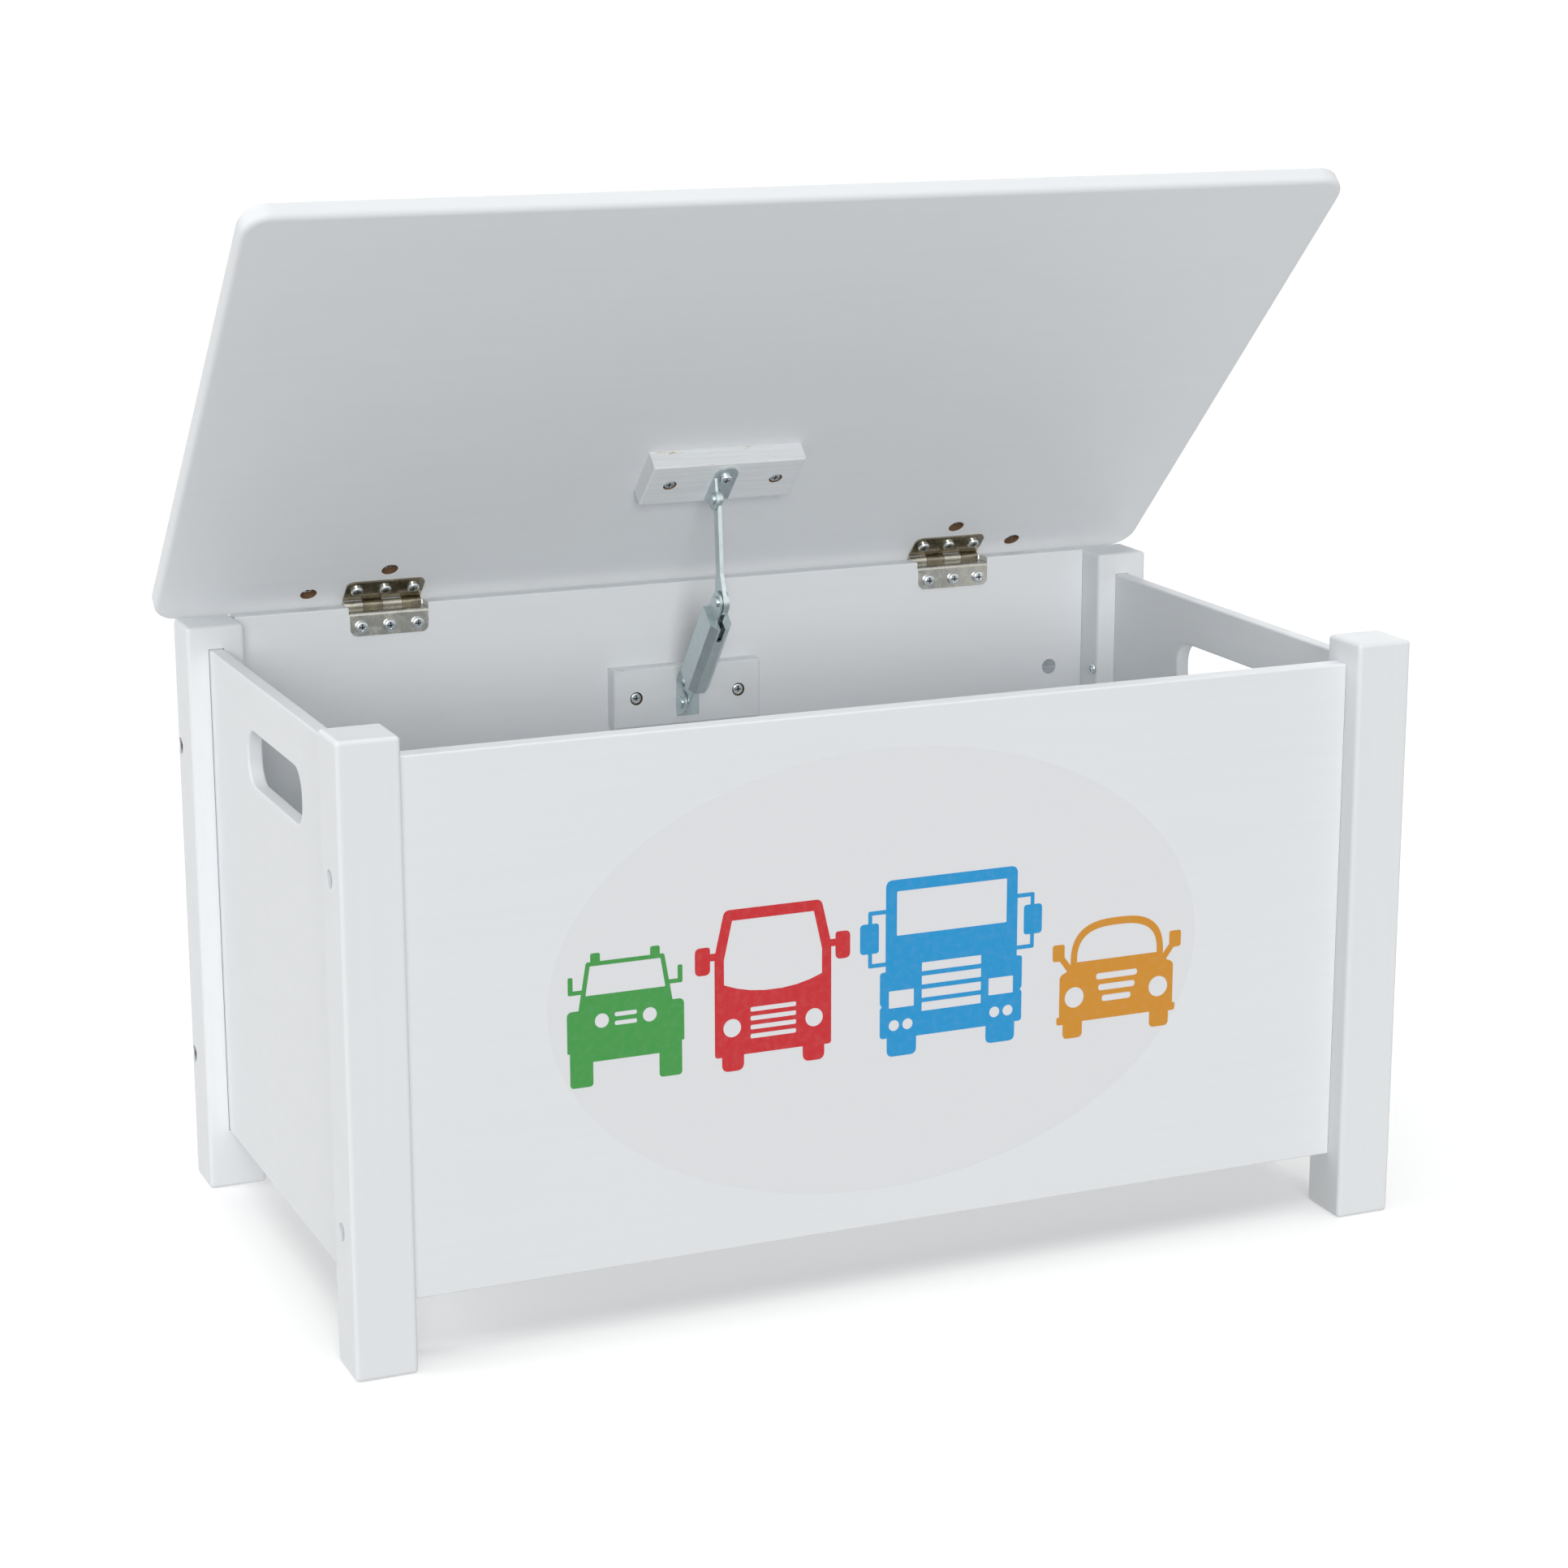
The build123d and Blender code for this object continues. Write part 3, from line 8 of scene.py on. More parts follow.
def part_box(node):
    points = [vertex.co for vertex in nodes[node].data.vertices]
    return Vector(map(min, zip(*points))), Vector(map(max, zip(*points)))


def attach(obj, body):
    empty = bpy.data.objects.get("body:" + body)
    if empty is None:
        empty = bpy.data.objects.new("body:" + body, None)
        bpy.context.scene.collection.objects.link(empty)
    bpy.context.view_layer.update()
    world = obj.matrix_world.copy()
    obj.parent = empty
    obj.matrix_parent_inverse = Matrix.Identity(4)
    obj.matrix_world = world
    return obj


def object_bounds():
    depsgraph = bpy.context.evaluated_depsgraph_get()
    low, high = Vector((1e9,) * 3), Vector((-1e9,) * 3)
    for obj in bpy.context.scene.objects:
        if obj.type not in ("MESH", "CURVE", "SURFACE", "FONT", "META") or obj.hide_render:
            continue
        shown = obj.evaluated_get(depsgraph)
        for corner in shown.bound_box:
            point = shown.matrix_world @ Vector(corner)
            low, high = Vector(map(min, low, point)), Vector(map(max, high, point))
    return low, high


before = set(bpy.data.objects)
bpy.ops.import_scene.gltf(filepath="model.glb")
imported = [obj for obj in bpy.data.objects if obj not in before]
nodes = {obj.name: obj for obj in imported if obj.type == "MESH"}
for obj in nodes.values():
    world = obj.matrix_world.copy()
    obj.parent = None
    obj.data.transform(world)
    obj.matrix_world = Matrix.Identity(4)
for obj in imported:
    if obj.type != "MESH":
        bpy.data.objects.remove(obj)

cad_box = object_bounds()
MM = 0.001
RIGHT = Vector((1.0, 0.0, 0.0))
UP = Vector((0.0, 0.0, 1.0))

# the lid's own directions, at the pictured opening
OPENING = math.radians(45.0)
LID_OUT = Vector((0.0, -math.sin(OPENING), -math.cos(OPENING)))      # out of its underside
LID_REACH = Vector((0.0, -math.cos(OPENING), math.sin(OPENING)))     # hinges to front edge
BACK_OUT = Vector((0.0, -1.0, 0.0))                      # out of the back panel's inner face


# ------------------------------------------------------------------ node help
class Graph:
    """A material's node tree, with short calls for what every finish here uses."""

    def __init__(self, name, colour, roughness, metallic=0.0, specular=0.5):
        self.material = bpy.data.materials.new(name)
        self.material.use_nodes = True
        self.tree = self.material.node_tree
        self.shader = self.tree.nodes["Principled BSDF"]
        self.shader.inputs["Base Color"].default_value = (*colour, 1.0)
        self.shader.inputs["Roughness"].default_value = roughness
        self.shader.inputs["Metallic"].default_value = metallic
        self.shader.inputs["Specular IOR Level"].default_value = specular
        self.material.diffuse_color = (*colour, 1.0)
        self.place = self.add("ShaderNodeTexCoord").outputs["Object"]
        self.normal = None

    def add(self, kind, **values):
        node = self.tree.nodes.new(kind)
        for key, value in values.items():
            setattr(node, key, value)
        return node

    def link(self, output, node, socket):
        self.tree.links.new(output, node.inputs[socket])

    def scaled(self, scale):
        """The place on the object, in metres, stretched by scale."""
        mapping = self.add("ShaderNodeMapping")
        mapping.inputs["Scale"].default_value = scale
        self.link(self.place, mapping, "Vector")
        return mapping.outputs["Vector"]

    def noise(self, scale, detail=3.0, rough=0.55):
        """Noise with scale features per metre, or with three scales along X, Y and Z."""
        drawn_out = hasattr(scale, "__len__")
        node = self.add("ShaderNodeTexNoise")
        node.inputs["Scale"].default_value = 1.0 if drawn_out else scale
        node.inputs["Detail"].default_value = detail
        node.inputs["Roughness"].default_value = rough
        self.link(self.scaled(scale) if drawn_out else self.place, node, "Vector")
        return node.outputs["Fac"]

    def ramp(self, value, *stops):
        """Two colours or greys by value: stops are (position, colour or grey)."""
        node = self.add("ShaderNodeValToRGB")
        for element, (position, colour) in zip(node.color_ramp.elements, stops):
            element.position = position
            grey = not hasattr(colour, "__len__")
            element.color = (colour, colour, colour, 1) if grey else (*colour, 1)
        self.link(value, node, "Fac")
        return node.outputs["Color"]

    def span(self, value, low, high, from_low=0.0, from_high=1.0):
        """The value carried from one range to another."""
        node = self.add("ShaderNodeMapRange")
        node.inputs["From Min"].default_value = from_low
        node.inputs["From Max"].default_value = from_high
        node.inputs["To Min"].default_value = low
        node.inputs["To Max"].default_value = high
        self.link(value, node, "Value")
        return node.outputs["Result"]

    def math(self, operation, a, b):
        """An operation on output a and on b, which is an output or a number."""
        node = self.add("ShaderNodeMath", operation=operation)
        self.link(a, node, 0)
        if isinstance(b, float):
            node.inputs[1].default_value = b
        else:
            self.link(b, node, 1)
        return node.outputs[0]

    def mix(self, amount, a, b, blend="MIX"):
        """Colour a turned towards colour b by amount."""
        node = self.add("ShaderNodeMix", data_type="RGBA", blend_type=blend)
        if isinstance(amount, float):
            node.inputs["Factor"].default_value = amount
        else:
            self.link(amount, node, "Factor")
        colour_a, colour_b, colour_out = 6, 7, 2         # the node's colour sockets
        for socket, value in ((colour_a, a), (colour_b, b)):
            if hasattr(value, "__len__"):
                node.inputs[socket].default_value = (*value, 1.0)
            else:
                self.link(value, node, socket)
        return node.outputs[colour_out]

    def bump(self, height, depth_mm, strength):
        """Relief on top of what earlier calls have added."""
        node = self.add("ShaderNodeBump")
        node.inputs["Strength"].default_value = strength
        node.inputs["Distance"].default_value = depth_mm * MM
        self.link(height, node, "Height")
        if self.normal is not None:
            self.link(self.normal, node, "Normal")
        self.normal = node.outputs["Normal"]

    def finish(self, colour, roughness=None):
        self.link(colour, self.shader, "Base Color")
        if roughness is not None:
            self.link(roughness, self.shader, "Roughness")
        if self.normal is not None:
            self.link(self.normal, self.shader, "Normal")
        return self.material


# ------------------------------------------------------------------ finishes
WHITE = (0.822, 0.843, 0.860)
ORANGE_PEEL, SPRAY_WAVES, CLOUDS = 900.0, 70.0, 4.0      # features per metre
PEEL_DEPTH, PEEL_STRENGTH = 0.025, 0.4                   # depths in millimetres
WAVE_DEPTH, GRAIN_DEPTH, GRAIN_STRENGTH = 0.05, 0.06, 0.35


def white_paint(name, grain, relief):
    """Sprayed satin white over MDF or pine: a faint orange peel, and under it the
    long soft lines of the board or post, drawn out along its length."""
    g = Graph(name, WHITE, 0.48, specular=0.32)
    peel = g.noise(ORANGE_PEEL, detail=2.0)
    waves = g.noise(SPRAY_WAVES)
    fibres = g.noise(grain, detail=4.0, rough=0.6)
    tone = g.ramp(g.noise(CLOUDS, detail=2.0), (0.3, 0.985), (0.7, 1.0))
    shade = g.mix(1.0, tone, WHITE, "MULTIPLY")
    lines = g.ramp(fibres, (0.35, 0.985), (0.6, 1.0))
    shade = g.mix(0.6, shade, lines, "MULTIPLY")
    g.bump(waves, WAVE_DEPTH * relief, GRAIN_STRENGTH)
    g.bump(fibres, GRAIN_DEPTH * relief, GRAIN_STRENGTH)
    g.bump(peel, PEEL_DEPTH, PEEL_STRENGTH)
    return g.finish(shade, g.span(waves, 0.42, 0.54, 0.3, 0.7))


def block_paint(name, up, edge):
    """White paint over a sawn block: saw lines on its ends and ochre primer where its
    long edge is rubbed. up runs across the block, and edge is where that edge lies
    along it."""
    rub_start, rub_full = 1.6 * MM, 0.4 * MM             # from the edge
    ochre = (0.52, 0.42, 0.20)
    g = Graph(name, WHITE, 0.42)
    waves = g.noise(SPRAY_WAVES)
    peel = g.noise(ORANGE_PEEL, detail=2.0)
    saw = g.noise((20.0, 650.0, 30.0), detail=2.0, rough=0.4)
    lines = g.ramp(saw, (0.38, 0.94), (0.55, 1.0))
    tone = g.mix(0.8, WHITE, lines, "MULTIPLY")
    height = g.add("ShaderNodeVectorMath", operation="DOT_PRODUCT")
    g.link(g.place, height, 0)
    height.inputs[1].default_value = up
    near_edge = g.span(height.outputs["Value"], 0.0, 1.0, edge - rub_start, edge - rub_full)
    wear = g.noise((55.0, 240.0, 240.0), detail=4.0, rough=0.65)
    rubbed = g.math("MULTIPLY", near_edge, g.ramp(wear, (0.64, 0.0), (0.68, 1.0)))
    tone = g.mix(g.math("MULTIPLY", rubbed, 0.75), tone, ochre)
    g.bump(saw, 0.12, 0.5)
    g.bump(waves, WAVE_DEPTH, 0.3)
    g.bump(peel, PEEL_DEPTH, PEEL_STRENGTH)
    return g.finish(tone, g.span(waves, 0.38, 0.5, 0.3, 0.7))


def plated(name, colour, roughness, mottle=0.25, scratches=0.5, tint=None):
    """Plated steel: blotches in the plating, fine scratches and a little dull film."""
    g = Graph(name, colour, roughness, metallic=1.0)
    blotch = g.noise(160.0, detail=4.0, rough=0.6)
    fine = g.noise((2600.0, 420.0, 420.0), rough=0.7)
    dark = tuple(c * (1.0 - mottle) for c in colour)
    base = g.ramp(blotch, (0.32, dark), (0.66, colour))
    if tint:
        patch = g.ramp(g.noise(90.0, detail=2.0), (0.45, 0.0), (0.7, 1.0))
        base = g.mix(g.math("MULTIPLY", patch, 0.35), base, tint)
    rough = g.math("ADD", g.span(blotch, -0.07, 0.09, 0.3, 0.7), roughness)
    rough = g.math("ADD", rough, g.span(fine, 0.0, 0.08, 0.55, 0.75))
    g.bump(fine, 0.012, scratches)
    g.bump(blotch, 0.03, 0.3)
    return g.finish(base, rough)


def bare_beech():
    """Turned dowels: straight grain along them, with short dark flecks."""
    g = Graph("bare_beech", (0.55, 0.36, 0.20), 0.6)
    grain = g.noise((20.0, 500.0, 500.0), detail=5.0, rough=0.6)
    flecks = g.noise((200.0, 1500.0, 1500.0), detail=2.0)
    colour = g.ramp(grain, (0.3, (0.44, 0.27, 0.14)), (0.7, (0.62, 0.43, 0.25)))
    colour = g.mix(g.ramp(flecks, (0.6, 0.0), (0.72, 0.5)), colour, (0.36, 0.20, 0.10))
    g.bump(grain, 0.05, 0.5)
    return g.finish(colour, g.span(grain, 0.5, 0.7))


def raw_fibreboard():
    """The brown heart of the board, seen in the walls of the unpainted drillings."""
    g = Graph("raw_fibreboard", (0.20, 0.115, 0.06), 0.85, specular=0.2)
    fibres = g.noise(1300.0, rough=0.7)
    colour = g.ramp(fibres, (0.3, (0.085, 0.043, 0.022)), (0.7, (0.27, 0.155, 0.085)))
    g.bump(fibres, 0.12, 0.8)
    return g.finish(colour)


def painted_shade_material():
    """Painted shade: near-black and mottled, for the pieces laid in the screws' recesses and the
    joints' gaps.
    """
    g = Graph("painted_shade", (0.03, 0.028, 0.026), 0.7, specular=0.25)
    speckle = g.noise(2500.0, detail=2.0)
    colour = g.ramp(speckle, (0.35, (0.012, 0.011, 0.012)), (0.75, (0.07, 0.066, 0.06)))
    g.bump(speckle, 0.03, 0.5)
    return g.finish(colour)


def print_ink(name, colour):
    """Screen-printed ink: even, satin, with a faint tooth and slight thin spots."""
    ground, show_through = 0.72, 0.05
    g = Graph(name, colour, 0.38)
    tooth = g.noise(1500.0, detail=2.0)
    thin = g.noise(220.0, detail=4.0, rough=0.65)
    pale = tuple(c + (ground - c) * show_through for c in colour)
    tone = g.ramp(thin, (0.25, pale), (0.55, colour))
    g.bump(tooth, 0.012, 0.4)
    return g.finish(tone, g.span(thin, 0.33, 0.44, 0.3, 0.7))


# ------------------------------------------------------------------ shape help
def points_of(name):
    return [v.co.copy() for v in nodes[name].data.vertices]


def islands(name):
    """The separate solids of a node, as lists of points."""
    shape = bmesh.new()
    shape.from_mesh(nodes[name].data)
    bmesh.ops.remove_doubles(shape, verts=shape.verts, dist=1e-6)
    left, found = set(shape.verts), []
    while left:
        stack, island = [left.pop()], []
        while stack:
            vertex = stack.pop()
            island.append(vertex.co.copy())
            for edge in vertex.link_edges:
                other = edge.other_vert(vertex)
                if other in left:
                    left.remove(other)
                    stack.append(other)
        found.append(island)
    shape.free()
    return found


def reach_of(points, direction):
    """The lowest and highest place of the points along a direction."""
    places = [p.dot(direction) for p in points]
    return min(places), max(places)


def screw_places(name, out):
    """The middle of each screw head's top, from the screws' own solids."""
    up = out.cross(RIGHT)
    for island in islands(name):
        across, along = reach_of(island, RIGHT), reach_of(island, up)
        top = reach_of(island, out)[1]
        yield RIGHT * sum(across) / 2 + up * sum(along) / 2 + out * top


def facing(place, out):
    """Carries the origin to place and +Z to out, and leaves +X alone."""
    turn = Matrix((RIGHT, out.cross(RIGHT), out)).transposed().to_4x4()
    return Matrix.Translation(place) @ turn


def on_circle(radius_x, radius_y, sides):
    """The points of a circle, or of an ellipse, round the origin."""
    turns = [2 * math.pi * i / sides for i in range(sides)]
    return [Vector((radius_x * math.cos(turn), radius_y * math.sin(turn))) for turn in turns]


def prism(shape, outline, low, high, matrix):
    """A straight-sided solid over a closed outline, added to a bmesh."""
    bottom = [shape.verts.new(matrix @ Vector((x, y, low))) for x, y in outline]
    top = [shape.verts.new(matrix @ Vector((x, y, high))) for x, y in outline]
    shape.faces.new(bottom[::-1])
    shape.faces.new(top)
    for i in range(len(outline)):
        k = (i + 1) % len(outline)
        shape.faces.new((bottom[i], bottom[k], top[k], top[i]))


def tube(shape, inner, outer, low, high, matrix, sides=48):
    """A ring wall round a hole, added to a bmesh."""
    rings = []
    for radius, height in ((outer, low), (outer, high), (inner, high), (inner, low)):
        circle = on_circle(radius, radius, sides)
        rings.append([shape.verts.new(matrix @ Vector((x, y, height))) for x, y in circle])
    for k, a in enumerate(rings):
        b = rings[(k + 1) % len(rings)]
        for i in range(sides):
            n = (i + 1) % sides
            shape.faces.new((a[i], a[n], b[n], b[i]))


def mesh_from(shape, name):
    """The bmesh as a mesh, with its faces turned outwards."""
    mesh = bpy.data.meshes.new(name)
    bmesh.ops.recalc_face_normals(shape, faces=shape.faces)
    shape.to_mesh(mesh)
    shape.free()
    return mesh


def piece(name, mesh, material, body):
    made = bpy.data.objects.new(name, mesh)
    bpy.context.scene.collection.objects.link(made)
    mesh.materials.append(material)
    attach(made, body)


# ------------------------------------------------------------------ the CAD nodes' finishes
along_x = white_paint("white_boards", (6.0, 60.0, 220.0), 0.8)
along_y = white_paint("white_side_boards", (60.0, 6.0, 220.0), 0.8)
along_z = white_paint("white_posts", (260.0, 260.0, 5.0), 1.0)

nickel = plated("warm_nickel", (0.60, 0.585, 0.53), 0.24, 0.14, 0.4, (0.50, 0.47, 0.38))
# the upper hinge leaf, under the lid, takes a darker copy of the nickel: painted shade
nickel_painted_shade = plated("nickel_painted_shade", (0.37, 0.335, 0.26), 0.2, 0.3, 0.4, (0.20, 0.15, 0.09))
pin_steel = plated("pin_steel", (0.45, 0.41, 0.34), 0.24)
zinc = plated("blue_zinc", (0.62, 0.70, 0.71), 0.34, 0.12, 0.6, (0.56, 0.63, 0.62))
bright_zinc = plated("bright_zinc", (0.74, 0.79, 0.81), 0.2, 0.12, 0.3)
dark_steel = plated("blackened_steel", (0.14, 0.14, 0.15), 0.35, 0.3, 0.4)
spring_steel = plated("spring_steel", (0.33, 0.33, 0.35), 0.3)

beech = bare_beech()
fibreboard = raw_fibreboard()
painted_shade = painted_shade_material()

upper_edge = reach_of(points_of("stay_block_upper"), LID_REACH)[1]
lower_edge = reach_of(points_of("stay_block_lower"), UP)[1]

finish_of = {
    "dowels": beech,
    "stay_block_upper": block_paint("upper_block_paint", LID_REACH, upper_edge),
    "stay_block_lower": block_paint("lower_block_paint", UP, lower_edge),
    "stay_spring": spring_steel,
    "bolts_front": bright_zinc,
    "bolts_rear": dark_steel,
}
# the first start that fits a node's name gives its finish; the rest are boards along X
starts = (
    ("post_", along_z),
    ("side_panel_screws", bright_zinc),
    ("side_panel_", along_y),
    ("hinge_pin", pin_steel),
    ("hinge_screws", bright_zinc),
    ("hinge_upper", nickel_painted_shade),
    ("hinge_", nickel),
    ("cross_dowels", bright_zinc),
    ("block_screws", bright_zinc),
    ("bracket_screw", bright_zinc),
    ("lid_screws", bright_zinc),
    ("stay_", zinc),
    ("rivet_", zinc),
)
for name, node in nodes.items():
    finish = finish_of.get(name)
    if finish is None:
        finish = next((m for start, m in starts if name.startswith(start)), along_x)
    slots = node.data.materials
    for index in range(len(slots)):
        slots[index] = finish
    if not len(slots):
        slots.append(finish)


# ------------------------------------------------------------------ painted shade in the screws' recesses
RECESS_DEPTH, SHADE_LIFT, SHADE_TOP = 1.3 * MM, 0.02 * MM, 0.35 * MM
ARM, WIDE = 1.95 * MM, 0.4 * MM                          # half the cross's length and width
CROSS = (
    (ARM, WIDE), (WIDE, WIDE), (WIDE, ARM), (-WIDE, ARM), (-WIDE, WIDE), (-ARM, WIDE),
    (-ARM, -WIDE), (-WIDE, -WIDE), (-WIDE, -ARM), (WIDE, -ARM), (WIDE, -WIDE), (ARM, -WIDE),
)

# a thin near-black cross at the foot of each screw's recess is painted shade, darkening the
# recess
for screws, out, body in (
    ("hinge_screws_lower", BACK_OUT, "box"),
    ("block_screws_lower", BACK_OUT, "box"),
    ("bracket_screw_lower", BACK_OUT, "box"),
    ("hinge_screws_upper", LID_OUT, "lid"),
    ("block_screws_upper", LID_OUT, "lid"),
    ("bracket_screw_upper", LID_OUT, "lid"),
    ("lid_screws", LID_OUT, "lid"),
):
    shape = bmesh.new()
    for top in screw_places(screws, out):
        prism(shape, CROSS, SHADE_LIFT - RECESS_DEPTH, SHADE_TOP - RECESS_DEPTH, facing(top, out))
    piece(screws + "_recess_grime", mesh_from(shape, screws + "_grime"), painted_shade, body)


# ------------------------------------------------------------------ bare board in the drillings
LID_RECESS_RADIUS, LID_RECESS_DEPTH = 5.2 * MM, 5.0 * MM
BLOCK_BORE_RADIUS, BLOCK_BORE_DEPTH = 4.3 * MM, 2.6 * MM
WALL_CLEAR, WALL_INNER, WALL_TOP = 0.03 * MM, 0.22 * MM, 0.25 * MM   # from the wall and mouth
FLOOR_CLEAR, FLOOR_TOP = 0.02 * MM, 0.2 * MM             # above the hole's floor
FLOOR_OUTER = 0.25 * MM                                  # from the hole's wall
FLOOR_INNER_RADIUS = 3.96 * MM                           # just outside a screw's head


def hole_linings(name, board, screws, out, radius, depth, body):
    """Bare board round the wall and floor of the unpainted drilling at each screw."""
    face = reach_of(points_of(board), out)[1]
    foot = FLOOR_CLEAR - depth
    shape = bmesh.new()
    for top in screw_places(screws, out):
        matrix = facing(top + out * (face - top.dot(out)), out)
        tube(shape, radius - WALL_INNER, radius - WALL_CLEAR, foot, -WALL_TOP, matrix)
        tube(shape, FLOOR_INNER_RADIUS, radius - FLOOR_OUTER, foot, FLOOR_TOP - depth, matrix)
    piece(name, mesh_from(shape, name), fibreboard, body)


hole_linings("lid_recess_linings", "lid", "lid_screws",
             LID_OUT, LID_RECESS_RADIUS, LID_RECESS_DEPTH, "lid")
hole_linings("stay_block_upper_bore_linings", "stay_block_upper", "block_screws_upper",
             LID_OUT, BLOCK_BORE_RADIUS, BLOCK_BORE_DEPTH, "lid")
hole_linings("stay_block_lower_bore_linings", "stay_block_lower", "block_screws_lower",
             BACK_OUT, BLOCK_BORE_RADIUS, BLOCK_BORE_DEPTH, "box")


# ------------------------------------------------------------------ painted shade in the joints
# painted shade: a near-black strip laid in the gap where each side panel enters its rear post
GAP_WIDE, GAP_END = 0.5 * MM, 1.5 * MM
GAP_SECTION = ((-GAP_WIDE, 0.0), (0.0, 0.0), (0.0, 0.6 * GAP_WIDE), (-GAP_WIDE, 0.2 * GAP_WIDE))

for side, turn in (("left", math.radians(180)), ("right", math.radians(270))):
    side_low, side_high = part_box("side_panel_" + side)
    outer_x = side_low.x if side == "left" else side_high.x
    post_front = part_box("post_rear_" + side)[0].y
    corner = Matrix.Translation((outer_x, post_front, 0)) @ Matrix.Rotation(turn, 4, "Z")
    shape = bmesh.new()
    prism(shape, GAP_SECTION, side_low.z + GAP_END, side_high.z - GAP_END, corner)
    piece("gap_painted_shade_" + side, mesh_from(shape, "gap_painted_shade"), painted_shade, "box")


# ------------------------------------------------------------------ printed pictures
# outlines are in millimetres, from the picture's middle and foot
INK = {
    "grey": print_ink("grey_ink", (0.783, 0.794, 0.815)),
    "green": print_ink("green_ink", (0.040, 0.300, 0.050)),
    "red": print_ink("red_ink", (0.575, 0.010, 0.016)),
    "blue": print_ink("blue_ink", (0.004, 0.296, 0.640)),
    "orange": print_ink("orange_ink", (0.640, 0.268, 0.012)),
}
INK_STEP, INK_THICKNESS, INK_SUNK = 0.12 * MM, 0.1 * MM, 0.02 * MM
PANEL_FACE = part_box("front_panel")[0].y                  # the front panel's outer face
BOTH = (-1, 1)


def rounded(corners, steps=7):
    """A closed outline whose corners (x, z, radius) are rounded off."""
    outline, count = [], len(corners)
    for i, (x, z, radius) in enumerate(corners):
        here = Vector((x, z))
        if radius <= 0:
            outline.append(here)
            continue
        before = Vector(corners[i - 1][:2]) - here
        after = Vector(corners[(i + 1) % count][:2]) - here
        angle = before.angle(after)
        reach = min(radius / math.tan(angle / 2), before.length * 0.49, after.length * 0.49)
        start, end = here + before.normalized() * reach, here + after.normalized() * reach
        for k in range(steps + 1):
            t = k / steps
            outline.append(start * (1 - t) ** 2 + here * 2 * t * (1 - t) + end * t ** 2)
    return outline


def mirrored(half):
    """The whole of a symmetric outline from its right half, listed from top to bottom."""
    return list(half) + [(-x, z, radius) for x, z, radius in reversed(half)]


def disc(x, z, radius):
    return [Vector((x, z)) + point for point in on_circle(radius, radius, 40)]


def bar(x, z, width, height, radius):
    w, h = width / 2, height / 2
    return rounded([(x - w, z - h, radius), (x + w, z - h, radius),
                    (x + w, z + h, radius), (x - w, z + h, radius)])


def arch(half_wide, foot, top, steps=22, power=0.72):
    """Right half of a round roof, from its top down to its foot."""
    out = []
    for k in range(steps + 1):
        t = math.pi / 2 * (1 - k / steps)
        x = half_wide * max(math.cos(t), 0.0) ** power
        out.append((x, foot + (top - foot) * math.sin(t) ** power, 0))
    return out


def printed(name, loops, colour, layer, middle_x, foot_z):
    """A flat printed shape on the front panel. loops are its outside and then its gaps."""
    curve = bpy.data.curves.new(name, "CURVE")
    curve.dimensions = "2D"
    curve.fill_mode = "BOTH"
    curve.extrude = INK_THICKNESS / 2
    for loop in loops:
        spline = curve.splines.new("POLY")
        spline.points.add(len(loop) - 1)
        spline.use_cyclic_u = True
        for point, place in zip(spline.points, loop):
            point.co = ((place[0] + middle_x) * MM, (place[1] + foot_z) * MM, 0.0, 1.0)
    carrier = bpy.data.objects.new(name + "_curve", curve)
    bpy.context.scene.collection.objects.link(carrier)
    bpy.context.view_layer.update()
    filled = carrier.evaluated_get(bpy.context.evaluated_depsgraph_get())
    mesh = bpy.data.meshes.new_from_object(filled)
    bpy.data.objects.remove(carrier)
    depth = PANEL_FACE - layer * INK_STEP + INK_THICKNESS / 2 - INK_SUNK
    mesh.transform(Matrix.Translation((0, depth, 0)) @ Matrix.Rotation(math.pi / 2, 4, "X"))
    mesh.materials.clear()
    piece(name, mesh, INK[colour], "box")


printed("printed_oval", [on_circle(200.5, 129.6, 240)], "grey", 1, middle_x=-7.5, foot_z=189.1)

# an off-roader with roof lamps, upright mirrors and a two-bar grille
off_roader = mirrored([
    (14.6, 71.0, 0), (14.6, 75.8, 1.3), (20.2, 75.8, 1.3), (20.2, 71.0, 0), (22.8, 71.0, 2.2),
    (25.4, 55.6, 0.2), (30.6, 55.6, 0.2), (30.6, 63.4, 1.1), (33.4, 63.4, 1.1), (33.4, 53.2, 1.0),
    (25.9, 53.2, 0.2), (27.4, 44.0, 0), (34.2, 44.0, 4.6), (34.2, 20.0, 0.6), (32.8, 20.0, 0),
    (32.8, 0.0, 2.4), (19.4, 0.0, 2.4), (19.4, 14.0, 0),
])
off_roader_glass = mirrored([(20.6, 68.6, 0.6), (23.3, 52.0, 0.5)])
printed("printed_off_roader", [
    rounded(off_roader),
    rounded(off_roader_glass),
    *[disc(side * 14.0, 37.0, 4.1) for side in BOTH],
    *[bar(0, z, 13.0, 2.5, 1.2) for z in (39.6, 34.6)],
], "green", 2, middle_x=-162.8, foot_z=145.0)

